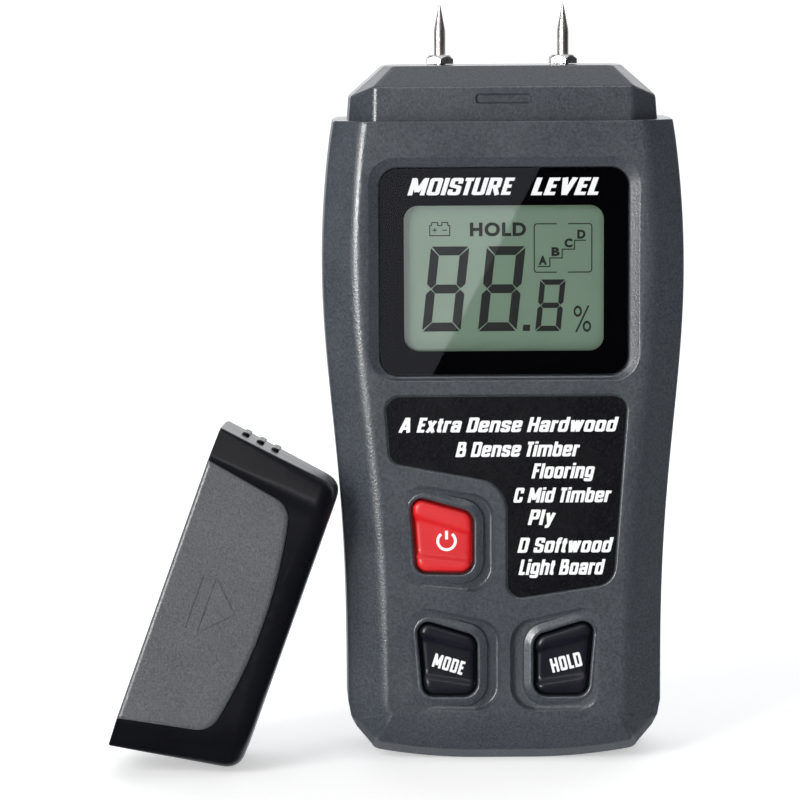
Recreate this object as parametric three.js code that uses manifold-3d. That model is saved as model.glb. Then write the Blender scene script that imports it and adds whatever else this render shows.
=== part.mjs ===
// Two-pin wood moisture meter with its protective cap taken off and leaning on it.
// Millimetres, +Z up. The origin is the centre of the flat base, X is the width and the
// display faces -Y. Every sub-part is a separate named solid.
import * as THREE from "three";
import { mergeVertices } from "three/addons/utils/BufferGeometryUtils.js";
import Module from "manifold-3d";

const wasm = await Module();
wasm.setup();

// ---- driving dimensions ----------------------------------------------------------------
const CLEARANCE = 0.2; // gap between neighbouring pieces
const WALL = 2; // housing wall
const BODY_TOP = 118.5; // shoulder that the cap seats on
const BODY_HALF_DEPTH = 15;
const BEVEL_DEPTH = 4.5; // how far the long bevels run back from the flat faces
const SIDE_DRAFT = 0.48; // outward draft of each side wall up to the parting line
const PARTING_Y = 1.5; // where the two housing shells meet, at the widest line
const HIP_HALF_WIDTH = 29.45; // half width of the straight lower part
const HIP_TOP = 15;
const WIDEST_HALF_WIDTH = 33.5;
const WIDEST_HEIGHT = 91;
const SHOULDER_HALF_WIDTH = 31.4;
const BEVEL_RUN_BASE = 7.6; // side to front flat, at the base and at the shoulder
const BEVEL_RUN_TOP = 5.95;
const NOSE_TOP = 128.3;
const NOSE_HALF_DEPTH = 13.1;
const PIN_SPACING = 22.7;
const PIN_RADIUS = 1.065;
const PIN_TIP = 139.3;
const BATTERY = { width: 26.5, depth: 17.5, height: 48.5 };
const CAP_HEIGHT = 24;
const CAP_WALL = 1.6;
const FAR = 40; // past every outer face, for cutting tools

// depths of the layers behind the front face, front surface then rear surface
const LENS = [-14.0, -12.8];
const LENS_TAPE = [-12.65, -12.35];
const LEDGE = [-12.2, -11.4];
const DISPLAY_GLASS = [-11.2, -9.0];
const REFLECTOR = [-8.85, -8.6];
const ZEBRA = [-8.4, -7.6];
const BOARD = [-7.4, -5.8];
const BAY_FLOOR = [-5.5, -4.7];
const BATTERY_FRONT = -4.4;
const DOOR = [13.4, 15];

// ---- solids ----------------------------------------------------------------------------
function toSolid(geometry) {
  const bare = geometry.index ? geometry.toNonIndexed() : geometry.clone();
  for (const name of Object.keys(bare.attributes)) {
    if (name !== "position") bare.deleteAttribute(name);
  }
  const welded = mergeVertices(bare, 1e-4);
  return new wasm.Manifold(
    new wasm.Mesh({
      numProp: 3,
      vertProperties: new Float32Array(welded.attributes.position.array),
      triVerts: new Uint32Array(welded.index.array),
    }),
  );
}

function toGeometry(solid) {
  const mesh = solid.getMesh();
  const geometry = new THREE.BufferGeometry();
  geometry.setAttribute("position", new THREE.BufferAttribute(mesh.vertProperties, 3));
  geometry.setIndex(new THREE.BufferAttribute(mesh.triVerts, 1));
  geometry.computeVertexNormals();
  return geometry;
}

const join = (first, ...rest) => rest.reduce((whole, piece) => whole.add(piece), first);
const cut = (first, ...rest) => rest.reduce((whole, piece) => whole.subtract(piece), first);

// A box given by its limits along X, Y and Z.
function block([x0, x1], [y0, y1], [z0, z1]) {
  const geometry = new THREE.BoxGeometry(x1 - x0, y1 - y0, z1 - z0);
  geometry.translate((x0 + x1) / 2, (y0 + y1) / 2, (z0 + z1) / 2);
  return toSolid(geometry);
}

// A cylinder, prism or cone along Z between two heights.
function post(x, y, [z0, z1], radius, sides = 16, topRadius = radius) {
  const geometry = new THREE.CylinderGeometry(topRadius, radius, z1 - z0, sides);
  geometry.rotateX(Math.PI / 2);
  geometry.translate(x, y, (z0 + z1) / 2);
  return toSolid(geometry);
}

// A cylinder along Y between two depths.
function dowel(x, z, [y0, y1], radius, sides = 16) {
  const geometry = new THREE.CylinderGeometry(radius, radius, y1 - y0, sides);
  geometry.translate(x, (y0 + y1) / 2, z);
  return toSolid(geometry);
}

// An outline in X and Z, extruded between two depths along Y.
function plate(outline, [y0, y1]) {
  const geometry = new THREE.ExtrudeGeometry(new THREE.Shape(outline), {
    depth: y1 - y0,
    bevelEnabled: false,
  });
  geometry.rotateX(Math.PI / 2);
  geometry.translate(0, y1, 0);
  return toSolid(geometry);
}

// A polygon whose corners are [x, z, radius], with each corner replaced by an arc.
function roundedOutline(corners, steps = 4) {
  const points = [];
  corners.forEach(([x, z, radius], i) => {
    const here = new THREE.Vector2(x, z);
    const before = corners[(i + corners.length - 1) % corners.length];
    const after = corners[(i + 1) % corners.length];
    const toBefore = new THREE.Vector2(before[0], before[1]).sub(here).normalize();
    const toAfter = new THREE.Vector2(after[0], after[1]).sub(here).normalize();
    const half = Math.acos(THREE.MathUtils.clamp(toBefore.dot(toAfter), -1, 1)) / 2;
    if (radius === 0) {
      points.push(here);
      return;
    }
    const start = here.clone().addScaledVector(toBefore, radius / Math.tan(half));
    const end = here.clone().addScaledVector(toAfter, radius / Math.tan(half));
    const inward = toBefore.clone().add(toAfter).normalize();
    const centre = here.clone().addScaledVector(inward, radius / Math.sin(half));
    const from = start.clone().sub(centre);
    const to = end.clone().sub(centre);
    const sweep = Math.atan2(from.cross(to), from.dot(to));
    const pivot = new THREE.Vector2();
    for (let s = 0; s <= steps; s++) {
      points.push(centre.clone().add(from.clone().rotateAround(pivot, (sweep * s) / steps)));
    }
  });
  return points;
}

// The same corners with every edge moved outwards by one distance (inwards if negative).
function grown(corners, grow) {
  const count = corners.length;
  const edgeNormal = ([x0, z0], [x1, z1]) => new THREE.Vector2(z1 - z0, x0 - x1).normalize();
  return corners.map((corner, i) => {
    const before = edgeNormal(corners[(i + count - 1) % count], corner);
    const after = edgeNormal(corner, corners[(i + 1) % count]);
    const shift = before.clone().add(after).multiplyScalar(grow / (1 + before.dot(after)));
    const turn = Math.sign(before.cross(after));
    const radius = corner[2] === 0 ? 0 : corner[2] + turn * grow;
    return [corner[0] + shift.x, corner[1] + shift.y, radius];
  });
}

const roundedRectangle = (halfWidth, z0, z1, radius) =>
  roundedOutline([
    [-halfWidth, z0, radius],
    [halfWidth, z0, radius],
    [halfWidth, z1, radius],
    [-halfWidth, z1, radius],
  ]);

// A closed skin through rings of equal point count, each counter-clockwise from above.
// Every ring is convex around x = y = 0, so a point there closes each end.
function loft(rings) {
  const count = rings[0].length;
  const points = rings.flat();
  const index = [];
  for (let r = 0; r + 1 < rings.length; r++) {
    for (let i = 0; i < count; i++) {
      const a = r * count + i;
      const b = r * count + ((i + 1) % count);
      index.push(a, b, b + count, a, b + count, a + count);
    }
  }
  const closeEnd = (first, flip) => {
    const middle = points.length;
    points.push(new THREE.Vector3(0, 0, points[first].z));
    for (let i = 0; i < count; i++) {
      const a = first + i;
      const b = first + ((i + 1) % count);
      index.push(...(flip ? [b, a, middle] : [a, b, middle]));
    }
  };
  closeEnd(0, true);
  closeEnd((rings.length - 1) * count, false);
  const geometry = new THREE.BufferGeometry().setFromPoints(points);
  geometry.setIndex(index);
  return toSolid(geometry);
}

// A ring of front and rear flats, four bevels and side walls that lean out to the parting
// line. Heights may differ between the flats and the sides.
function ring({ z, sideZ = z, flat, side, halfDepth, bevelDepth = BEVEL_DEPTH }) {
  const edge = side - SIDE_DRAFT;
  const edgeY = halfDepth - bevelDepth;
  const right = [
    [flat, -halfDepth, z],
    [edge, -edgeY, sideZ],
    [side, PARTING_Y, sideZ],
    [edge, edgeY, sideZ],
    [flat, halfDepth, z],
  ];
  const left = right.map(([x, y, h]) => [-x, y, h]).reverse();
  return [...right, ...left].map((point) => new THREE.Vector3(...point));
}

// ---- the housing's outer form -------------------------------------------------------------
function bodyHalfWidth(z) {
  if (z >= WIDEST_HEIGHT) {
    const rise = (z - WIDEST_HEIGHT) / (BODY_TOP - WIDEST_HEIGHT);
    return WIDEST_HALF_WIDTH - (WIDEST_HALF_WIDTH - SHOULDER_HALF_WIDTH) * rise ** 2;
  }
  const rise = Math.max(0, (z - HIP_TOP) / (WIDEST_HEIGHT - HIP_TOP));
  const swell = (1 - Math.cos(Math.PI * rise ** 1.35)) / 2;
  return HIP_HALF_WIDTH + (WIDEST_HALF_WIDTH - HIP_HALF_WIDTH) * swell;
}

const bodyFlatHalfWidth = (z) =>
  bodyHalfWidth(z) - THREE.MathUtils.lerp(BEVEL_RUN_BASE, BEVEL_RUN_TOP, z / BODY_TOP);

// The front and rear faces roll inwards over the lowest 10 mm, down to the base.
const BASE_ROLL = [
  [0, 5.2],
  [2.6, 2],
  [5, 1],
  [7.5, 0.3],
  [10, 0],
];

function bodyRings(inset, z0, z1) {
  const heights = BASE_ROLL.map(([z]) => z).filter((z) => z > z0 + 0.5);
  for (let z = 20; z < z1 - 4; z += 9) heights.push(z);
  return [z0, ...heights, z1].map((z) => {
    const above = BASE_ROLL.findIndex(([height]) => height >= z);
    let roll = 0;
    if (above === 0) roll = BASE_ROLL[0][1];
    if (above > 0) {
      const [lowZ, lowRoll] = BASE_ROLL[above - 1];
      const [highZ, highRoll] = BASE_ROLL[above];
      roll = THREE.MathUtils.mapLinear(z, lowZ, highZ, lowRoll, highRoll);
    }
    return ring({
      z,
      flat: bodyFlatHalfWidth(z) - inset / 2,
      side: bodyHalfWidth(z) - inset,
      halfDepth: BODY_HALF_DEPTH - roll - inset,
    });
  });
}

const STAND_HALF_WIDTH = 12.5; // flat middle of the base that the meter stands on

// The front view's lower edge: a flat middle, a shallow rise and cut-off corners.
function baseOutline(inset) {
  const top = BODY_TOP + 5;
  const half = [
    [STAND_HALF_WIDTH, inset],
    [18, 0.75 + inset],
    [23.6 - inset / 2, 1.7 + inset],
    [28.4 - inset, 6.6 + inset / 2],
    [HIP_HALF_WIDTH + 0.2 - inset, 9.4],
    [40, 40],
    [40, top],
  ];
  const mirrored = half.map(([x, z]) => [-x, z]).reverse();
  return [...half, ...mirrored].map(([x, z]) => new THREE.Vector2(x, z));
}

const bodyForm = (inset, z0, z1) =>
  loft(bodyRings(inset, z0, z1)).intersect(plate(baseOutline(inset), [-FAR, FAR]));

const NOSE_FOOT = { flat: 23.5, side: 28.7 };
const NOSE_WAIST = { z: 124.6, sideZ: 122.8, flat: 23.4, side: 28.3 };
const NOSE_CROWN = { flat: 19.7, side: 22.1, halfDepth: 8, bevelDepth: 2.6 };

function noseForm() {
  return loft([
    ring({ z: BODY_TOP - 0.6, ...NOSE_FOOT, halfDepth: NOSE_HALF_DEPTH }),
    ring({ ...NOSE_WAIST, halfDepth: NOSE_HALF_DEPTH }),
    ring({ z: NOSE_TOP, ...NOSE_CROWN }),
  ]);
}

// ---- keys, window and label outlines ------------------------------------------------------
const KEYS = {
  power: {
    outline: [
      [-17.1, 49.9, 1.7],
      [-16.1, 36.0, 1.9],
      [-6.0, 35.8, 2.2],
      [-6.0, 46.8, 2.2],
    ],
    switchAt: [-11.2, 42.2],
    colour: 0xd0131f,
  },
  mode: {
    outline: [
      [-16.0, 27.0, 1.7],
      [-14.8, 13.0, 1.9],
      [-5.4, 13.0, 2.2],
      [-5.4, 23.7, 2.2],
    ],
    switchAt: [-10.4, 19.4],
    colour: 0x1d1e24,
  },
  hold: {
    outline: [
      [5.6, 23.7, 2.2],
      [5.6, 13.0, 2.2],
      [15.2, 13.0, 1.9],
      [16.4, 27.0, 1.7],
    ],
    switchAt: [10.9, 19.4],
    colour: 0x1d1e24,
  },
};

const LABEL = [
  [-21.9, 68.5, 2.6],
  [-21.0, 56.2, 2.4],
  [0.4, 52.2, 6],
  [0.4, 30.7, 2.6],
  [20.0, 33.7, 3.6],
  [22.5, 68.5, 2.6],
];

const LABEL_DEPTHS = [-14.97, -14.7];
const LABEL_FLOOR = -14.65;
const KEY_GAP = 0.35;
const DISH = { reach: 2.1, floor: -14.3 }; // shallow well round each key
const NOSE_SLOT = { halfWidth: 5, heights: [121.6, 123.3], floor: 1.2 - NOSE_HALF_DEPTH };
const LENS_OUTLINE = { halfWidth: 22.6, z0: 72.2, z1: 110, radius: 3.4 };
const RECESS_OUTLINE = { halfWidth: 24.45, z0: 71.3, z1: 111.8, radius: 4.6 };
const APERTURE = { halfWidth: 19.4, z0: 75, z1: 104.6 };
const DISPLAY = { halfWidth: 20.3, z0: 74.3, z1: 105.4 };

const lensPlate = (grow, depths) =>
  plate(
    roundedRectangle(
      LENS_OUTLINE.halfWidth + grow,
      LENS_OUTLINE.z0 - grow,
      LENS_OUTLINE.z1 + grow,
      LENS_OUTLINE.radius,
    ),
    depths,
  );

// ---- screws, pockets and the electrode seats ------------------------------------------------
const HOUSING_SCREWS = [
  [-22, 113.2],
  [22, 113.2],
  [-18.8, 10.8],
  [18.8, 10.8],
];
const SCREW = { shank: 1.2, head: 2.7, headDepth: [8.2, 9.8], tip: -8 };
const BOARD_SCREWS = [
  [-21.5, 67],
  [21.5, 67],
  [0, 9.5],
];
const BOARD_BORE_END = -12.4;
const BOSS_RADIUS = { front: 3, rear: 4.1 };
const STANDOFF_RADIUS = 2.2;
const INSIDE_FACE = BODY_HALF_DEPTH - WALL + 0.5; // bosses run this far, into the wall
const INSERT = { radius: 3, heights: [117.6, 126.6] };
const NUT_HEIGHTS = [NOSE_TOP + CLEARANCE, NOSE_TOP + CLEARANCE + 1.6];
const PIN_XS = [-PIN_SPACING / 2, PIN_SPACING / 2];
const BAY = { halfWidth: BATTERY.width / 2 + 0.8, z0: 16.2, z1: 74, wall: 1.2 };
const DOOR_OPENING = { halfWidth: 17, z0: 15.8, z1: 71.8 };
const WIRE_NOTCH = { halfWidth: 5.5, y: [-1, 8] };

const CAVITY_TOP = BODY_TOP - WALL;
const PARTING_GAP = [PARTING_Y - CLEARANCE / 2, PARTING_Y + CLEARANCE / 2];
const FRONT_HALF = block([-FAR, FAR], [-FAR, PARTING_GAP[0]], [-10, 150]);
const REAR_HALF = block([-FAR, FAR], [PARTING_GAP[1], FAR], [-10, 150]);

function electrodeSeats() {
  return PIN_XS.flatMap((x) => [
    post(x, 0, [CAVITY_TOP - 0.5, INSERT.heights[1] + CLEARANCE], INSERT.radius + CLEARANCE),
    post(x, 0, [INSERT.heights[1], NOSE_TOP + 1], PIN_RADIUS + 0.35),
  ]);
}

const housingBlock = () => bodyForm(0, 0, BODY_TOP).add(noseForm());
const housingCavity = () => bodyForm(WALL, WALL, CAVITY_TOP);

function frontShell() {
  const half = housingBlock().intersect(FRONT_HALF);
  const bosses = HOUSING_SCREWS.map(([x, z]) =>
    dowel(x, z, [-INSIDE_FACE, PARTING_GAP[0]], BOSS_RADIUS.front),
  );
  const standoffs = BOARD_SCREWS.map(([x, z]) =>
    dowel(x, z, [-INSIDE_FACE, BOARD[0] - CLEARANCE], STANDOFF_RADIUS, 12),
  );
  const lensFrame = block([-25.2, 25.2], [-INSIDE_FACE, LEDGE[1]], [70.2, 112.6]);
  const outlines = Object.values(KEYS).map((key) => key.outline);
  const keyHoles = outlines.map((corners) =>
    plate(roundedOutline(grown(corners, KEY_GAP)), [-FAR, LEDGE[0] + CLEARANCE]),
  );
  const keyDishes = outlines.map((corners) =>
    plate(roundedOutline(grown(corners, DISH.reach)), [-FAR, DISH.floor]),
  );
  const bores = HOUSING_SCREWS.map(([x, z]) =>
    dowel(x, z, [SCREW.tip - 1, PARTING_Y + 1], SCREW.shank + CLEARANCE),
  );
  const boardBores = BOARD_SCREWS.map(([x, z]) => dowel(x, z, [BOARD_BORE_END, 0], 1, 12));
  const { halfWidth, z0, z1, radius } = RECESS_OUTLINE;
  const recess = plate(roundedRectangle(halfWidth, z0, z1, radius), [-FAR, LENS[0]]);
  const hollow = join(half.subtract(housingCavity()), ...bosses, ...standoffs, lensFrame);
  return cut(
    hollow,
    ...electrodeSeats(),
    ...keyHoles,
    ...keyDishes,
    ...bores,
    ...boardBores,
    recess,
    lensPlate(0.15, [-FAR, LEDGE[0]]),
    block([-APERTURE.halfWidth, APERTURE.halfWidth], [-FAR, 0], [APERTURE.z0, APERTURE.z1]),
    plate(roundedOutline(LABEL), [-FAR, LABEL_FLOOR]),
    block([-NOSE_SLOT.halfWidth, NOSE_SLOT.halfWidth], [-FAR, NOSE_SLOT.floor], NOSE_SLOT.heights),
  );
}

function rearShell() {
  const half = housingBlock().intersect(REAR_HALF);
  const bosses = HOUSING_SCREWS.map(([x, z]) =>
    dowel(x, z, [PARTING_GAP[1], INSIDE_FACE], BOSS_RADIUS.rear),
  );
  const bayOuter = block(
    [-BAY.halfWidth - BAY.wall, BAY.halfWidth + BAY.wall],
    [BAY_FLOOR[0], INSIDE_FACE],
    [BAY.z0 - BAY.wall, BAY.z1 + BAY.wall],
  );
  const bayWidth = [-BAY.halfWidth, BAY.halfWidth];
  const bayInner = block(bayWidth, [BAY_FLOOR[1], FAR], [BAY.z0, BAY.z1]);
  const bayLid = block(bayWidth, [BODY_HALF_DEPTH - WALL, FAR], [DOOR_OPENING.z1, BAY.z1 + 1]);
  const heads = HOUSING_SCREWS.map(([x, z]) =>
    dowel(x, z, [SCREW.headDepth[0] - CLEARANCE, FAR], SCREW.head + CLEARANCE),
  );
  const bores = HOUSING_SCREWS.map(([x, z]) =>
    dowel(x, z, [-1, SCREW.headDepth[1]], SCREW.shank + CLEARANCE),
  );
  const opening = plate(
    roundedRectangle(DOOR_OPENING.halfWidth, DOOR_OPENING.z0, DOOR_OPENING.z1, 2),
    [DOOR[0] - 0.5, FAR],
  );
  const hollow = join(half.subtract(housingCavity()), ...bosses, bayOuter);
  return cut(
    hollow,
    bayInner.subtract(bayLid),
    opening,
    ...electrodeSeats(),
    ...heads,
    ...bores,
    block([-WIRE_NOTCH.halfWidth, WIRE_NOTCH.halfWidth], WIRE_NOTCH.y, [BAY.z1 - 1, BAY.z1 + 3]),
  );
}

// ---- battery door --------------------------------------------------------------------------
const HOOK_XS = [-9, 9];
const THUMB_GROOVES = [20, 22.4, 24.8, 27.2];

function batteryDoor() {
  const { halfWidth, z0, z1 } = DOOR_OPENING;
  const panel = plate(roundedRectangle(halfWidth - 0.3, z0 + 0.3, z1 - 0.3, 1.8), DOOR);
  const hooks = HOOK_XS.flatMap((x) => [
    block([x - 2.5, x + 2.5], [12, DOOR[0] + 0.1], [z1 - 3.5, z1 - 0.5]),
    block([x - 2.5, x + 2.5], [11.8, 12.8], [z1 - 3.5, z1 + 1.2]),
  ]);
  const latch = block([-5, 5], [11.6, DOOR[0] + 0.1], [z0 + 0.7, z0 + 1.4]);
  const grooves = THUMB_GROOVES.map((z) => block([-6, 6], [DOOR[1] - 0.6, FAR], [z, z + 1.1]));
  return cut(join(panel, ...hooks, latch), ...grooves);
}

// ---- display, board and keys ---------------------------------------------------------------
function lensTape() {
  const inner = block([-20.4, 20.4], LENS_TAPE.map((y, i) => y + (i ? 1 : -1)), [74, 108.4]);
  return lensPlate(-0.2, LENS_TAPE).subtract(inner);
}

function displayFrame() {
  const depths = [DISPLAY_GLASS[0], ZEBRA[1]];
  const outer = block([-22.6, 22.6], depths, [72, 107.6]);
  const inner = block(
    [-DISPLAY.halfWidth - CLEARANCE, DISPLAY.halfWidth + CLEARANCE],
    [depths[0] - 1, depths[1] + 1],
    [DISPLAY.z0 - CLEARANCE, DISPLAY.z1 + CLEARANCE],
  );
  return outer.subtract(inner);
}

function circuitBoard() {
  const board = plate(
    roundedOutline([
      [-15, 5.5, 1],
      [15, 5.5, 1],
      [15, 15, 1],
      [24, 15, 1],
      [24, 109.6, 1],
      [-24, 109.6, 1],
      [-24, 15, 1],
      [-15, 15, 1],
    ]),
    BOARD,
  );
  return cut(board, ...BOARD_SCREWS.map(([x, z]) => dowel(x, z, [-FAR, 0], 1.2, 12)));
}

const SWITCH = { half: 3, depths: [-11, BOARD[0] - CLEARANCE], bore: 2, boreEnd: -9.6 };

function tactSwitch([x, z]) {
  const { half, depths, bore, boreEnd } = SWITCH;
  return block([x - half, x + half], depths, [z - half, z + half]).subtract(
    dowel(x, z, [depths[0] - 1, boreEnd], bore),
  );
}

const KEY_FACE = -15.1;
const KEY_FLANGE = [-12.55, -12.2];

function keyCap({ outline }) {
  const stem = plate(roundedOutline(outline), [KEY_FACE, KEY_FLANGE[0] + 0.1]);
  const flange = plate(roundedOutline(grown(outline, 0.9)), KEY_FLANGE);
  const zs = outline.map((corner) => corner[1]);
  const xs = outline.map((corner) => corner[0]);
  const middle = (Math.max(...zs) + Math.min(...zs)) / 2 - 0.6;
  const scoop = new THREE.CylinderGeometry(9, 9, 30, 40);
  scoop.rotateZ(Math.PI / 2);
  scoop.translate((xs[0] + xs[2]) / 2, KEY_FACE + 0.8 - 9, middle);
  return stem.add(flange).subtract(toSolid(scoop));
}

// ---- electrodes ------------------------------------------------------------------------------
const PIN_FOOT = 114.5;

const PIN_CONE_FOOT = 134.8;
const PIN_TIP_RADIUS = 0.12;

const electrodePin = (x) =>
  post(x, 0, [PIN_FOOT, PIN_CONE_FOOT], PIN_RADIUS, 20).add(
    post(x, 0, [PIN_CONE_FOOT, PIN_TIP], PIN_RADIUS, 20, PIN_TIP_RADIUS),
  );

const threadedInsert = (x) =>
  post(x, 0, INSERT.heights, INSERT.radius, 18).subtract(
    post(x, 0, [INSERT.heights[0] - 1, INSERT.heights[1] + 1], PIN_RADIUS + CLEARANCE, 18),
  );

const NUT_RADIUS = 2.79; // to a corner
const NUT_TURNS = [2, 8]; // degrees, left and right

const collarNut = (x, turn) =>
  post(0, 0, NUT_HEIGHTS, NUT_RADIUS, 6)
    .subtract(post(0, 0, [NUT_HEIGHTS[0] - 1, NUT_HEIGHTS[1] + 1], PIN_RADIUS + CLEARANCE, 18))
    .rotate([0, 0, turn])
    .translate([x, 0, 0]);

// A wire swept along a smooth curve through its points.
function wire(points, radius) {
  const section = new THREE.Shape().absarc(0, 0, radius, 0, 2 * Math.PI);
  const path = new THREE.CatmullRomCurve3(points.map((p) => new THREE.Vector3(...p)));
  const geometry = new THREE.ExtrudeGeometry(section, {
    steps: 12,
    curveSegments: 4,
    extrudePath: path,
  });
  return toSolid(geometry);
}

const electrodeLead = (x) =>
  wire(
    [
      [x, 0, PIN_FOOT - 0.4],
      [x * 0.98, -0.6, 112.4],
      [x * 0.9, -2.6, 109.6],
      [x * 0.85, -5, 107.4],
      [x * 0.85, -5, 104],
    ],
    0.6,
  );

// ---- battery -----------------------------------------------------------------------------------
const BATTERY_FOOT = 17.4;
const BATTERY_TOP = BATTERY_FOOT + BATTERY.height;
const BATTERY_MIDDLE_Y = BATTERY_FRONT + BATTERY.depth / 2;
const TERMINALS = { positive: [-6.35, 2.9], negative: [6.35, 4.2] };
const TERMINAL_HEIGHTS = [BATTERY_TOP + CLEARANCE, BATTERY_TOP + 2.6];

function battery() {
  const radius = 2;
  const { width, depth } = BATTERY;
  const outline = roundedOutline([
    [-width / 2, BATTERY_FRONT, radius],
    [width / 2, BATTERY_FRONT, radius],
    [width / 2, BATTERY_FRONT + depth, radius],
    [-width / 2, BATTERY_FRONT + depth, radius],
  ]);
  const geometry = new THREE.ExtrudeGeometry(new THREE.Shape(outline), {
    depth: BATTERY.height,
    bevelEnabled: false,
  });
  geometry.translate(0, 0, BATTERY_FOOT);
  return toSolid(geometry);
}

const terminal = ([x, radius]) => post(x, BATTERY_MIDDLE_Y, TERMINAL_HEIGHTS, radius, 12);

function snapConnector() {
  const clip = block([-12.6, 12.6], [BATTERY_MIDDLE_Y - 6, BATTERY_MIDDLE_Y + 6], [66.4, 71.6]);
  const sockets = Object.values(TERMINALS).map(([x, radius]) =>
    post(x, BATTERY_MIDDLE_Y, [60, TERMINAL_HEIGHTS[1] + CLEARANCE], radius + CLEARANCE, 12),
  );
  return cut(clip, ...sockets);
}

const batteryLead = (x) =>
  wire(
    [
      [x, 4, 71.9],
      [x, 4, 75],
      [x, 2.6, 79],
      [x * 1.3, -1.6, 82],
      [x * 1.4, -5, 84],
      [x * 1.4, -5, 88],
    ],
    0.6,
  );

// ---- fasteners -----------------------------------------------------------------------------------
function crossRecess(x, z, faceY, size) {
  const reach = [faceY - 0.7, faceY + 1];
  return block([x - size, x + size], reach, [z - 0.3, z + 0.3]).add(
    block([x - 0.3, x + 0.3], reach, [z - size, z + size]),
  );
}

const housingScrew = ([x, z]) =>
  dowel(x, z, SCREW.headDepth, SCREW.head, 20)
    .add(dowel(x, z, [SCREW.tip, SCREW.headDepth[0] + 0.1], SCREW.shank, 12))
    .subtract(crossRecess(x, z, SCREW.headDepth[1], 1.6));

const boardScrew = ([x, z]) =>
  dowel(x, z, [BOARD[1] + CLEARANCE, BOARD[1] + 1.1], 1.75, 14)
    .add(dowel(x, z, [-11.6, BOARD[1] + 0.3], 0.8, 10))
    .subtract(crossRecess(x, z, BOARD[1] + 1.5, 1));

// ---- protective cap, in its fitted frame: rim at z = 0, closed end up ------------------------------
const CAP_RIM = { flat: 25.4, side: SHOULDER_HALF_WIDTH, halfDepth: BODY_HALF_DEPTH };
const CAP_END = { flat: 22.2, side: 27.9, halfDepth: 13.2 };
const CAP_BEVEL_DEPTH = 4.3;
const CAP_EDGE = 3; // rounding at the closed end
const CAP_PANEL_DEPTH = 0.6;
const CAP_PANEL_PROUD = 0.35; // the panels stand this far above the shell round them
const RIB_HEIGHTS = [4.5, 7.5, 10.5];

function capForm(inset, z0, z1, sunk = 0) {
  const ringAt = (z, extra = 0) => {
    const rise = z / CAP_HEIGHT;
    const mix = (key) => THREE.MathUtils.lerp(CAP_RIM[key], CAP_END[key], rise) - inset - extra;
    return ring({
      z,
      flat: mix("flat") + inset / 2,
      side: mix("side"),
      halfDepth: mix("halfDepth") - sunk,
      bevelDepth: CAP_BEVEL_DEPTH - sunk,
    });
  };
  return loft([
    ringAt(z0),
    ringAt(z1 - CAP_EDGE),
    ringAt(z1 - CAP_EDGE / 4, CAP_EDGE / 4),
    ringAt(z1, CAP_EDGE),
  ]);
}

// The panel's front outline: tapering sides and a shallow arc below the closed end.
function panelOutline(grow) {
  const halfRim = CAP_RIM.flat - 0.5 + grow;
  const shoulder = [21.8 + grow, 16.7 + grow];
  const crown = 19.3 + grow;
  const radius = (shoulder[0] ** 2 + (crown - shoulder[1]) ** 2) / (2 * (crown - shoulder[1]));
  const arc = [];
  for (let i = -3; i <= 3; i++) {
    const x = (-shoulder[0] * i) / 3;
    const corner = Math.abs(i) === 3 ? 3 : 0;
    arc.push([x, crown - radius + Math.sqrt(radius ** 2 - x ** 2), corner]);
  }
  return roundedOutline([[-halfRim, -1, 0], [halfRim, -1, 0], ...arc]);
}

const faceReach = (face) => (face < 0 ? [-FAR, 0] : [0, FAR]);

function capShell() {
  const ribs = [-1, 1].flatMap((side) =>
    RIB_HEIGHTS.map((z) => {
      const x = THREE.MathUtils.lerp(CAP_RIM.side, CAP_END.side, z / CAP_HEIGHT);
      const reach = [side * (x - 1), side * (x + 0.35)].sort((a, b) => a - b);
      return block(reach, [-6, 6], [z - 0.7, z + 0.7]);
    }),
  );
  const cavity = capForm(CAP_WALL, -0.01, CAP_HEIGHT - CAP_WALL);
  const grooves = [-1, 1].map((face) =>
    plate(panelOutline(0.15), faceReach(face)).subtract(
      capForm(CAP_PANEL_DEPTH + 0.15, -2, CAP_HEIGHT),
    ),
  );
  const outside = capForm(0, 0, CAP_HEIGHT, CAP_PANEL_PROUD);
  return cut(join(outside, ...ribs), ...grooves, cavity);
}

const capPanel = (face) =>
  capForm(0, 0, CAP_HEIGHT)
    .intersect(plate(panelOutline(0), faceReach(face)))
    .subtract(capForm(CAP_PANEL_DEPTH, -2, CAP_HEIGHT));

// ---- assembly --------------------------------------------------------------------------------------
const FINISHES = {
  housing: { color: 0x565b63, roughness: 0.62 },
  softBlack: { color: 0x1d1e24, roughness: 0.45 },
  lens: { color: 0x0c0c0e, roughness: 0.08, transparent: true, opacity: 0.6 },
  display: { color: 0x83988a, roughness: 0.25 },
  board: { color: 0x1f5a33, roughness: 0.5 },
  steel: { color: 0xb4b0ac, roughness: 0.25, metalness: 1 },
  brass: { color: 0xb98f45, roughness: 0.3, metalness: 1 },
  label: { color: 0x17181a, roughness: 0.6 },
  rubber: { color: 0x2a2a2c, roughness: 0.8 },
  foam: { color: 0x77797c, roughness: 0.95 },
  redWire: { color: 0xb01a1a, roughness: 0.5 },
  batteryWrap: { color: 0x2b3550, roughness: 0.35 },
};

const meter = new THREE.Group();

function place(name, solid, finish, group = meter) {
  const settings = typeof finish === "string" ? FINISHES[finish] : finish;
  const mesh = new THREE.Mesh(toGeometry(solid), new THREE.MeshStandardMaterial(settings));
  mesh.name = name;
  group.add(mesh);
  return mesh;
}

place("front_shell", frontShell(), "housing");
place("rear_shell", rearShell(), "housing");
place("battery_door", batteryDoor(), "housing");

place("window_lens", lensPlate(0, LENS), "lens");
place("lens_tape", lensTape(), "rubber");
place("species_label", plate(roundedOutline(grown(LABEL, -0.15)), LABEL_DEPTHS), "label");

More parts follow.
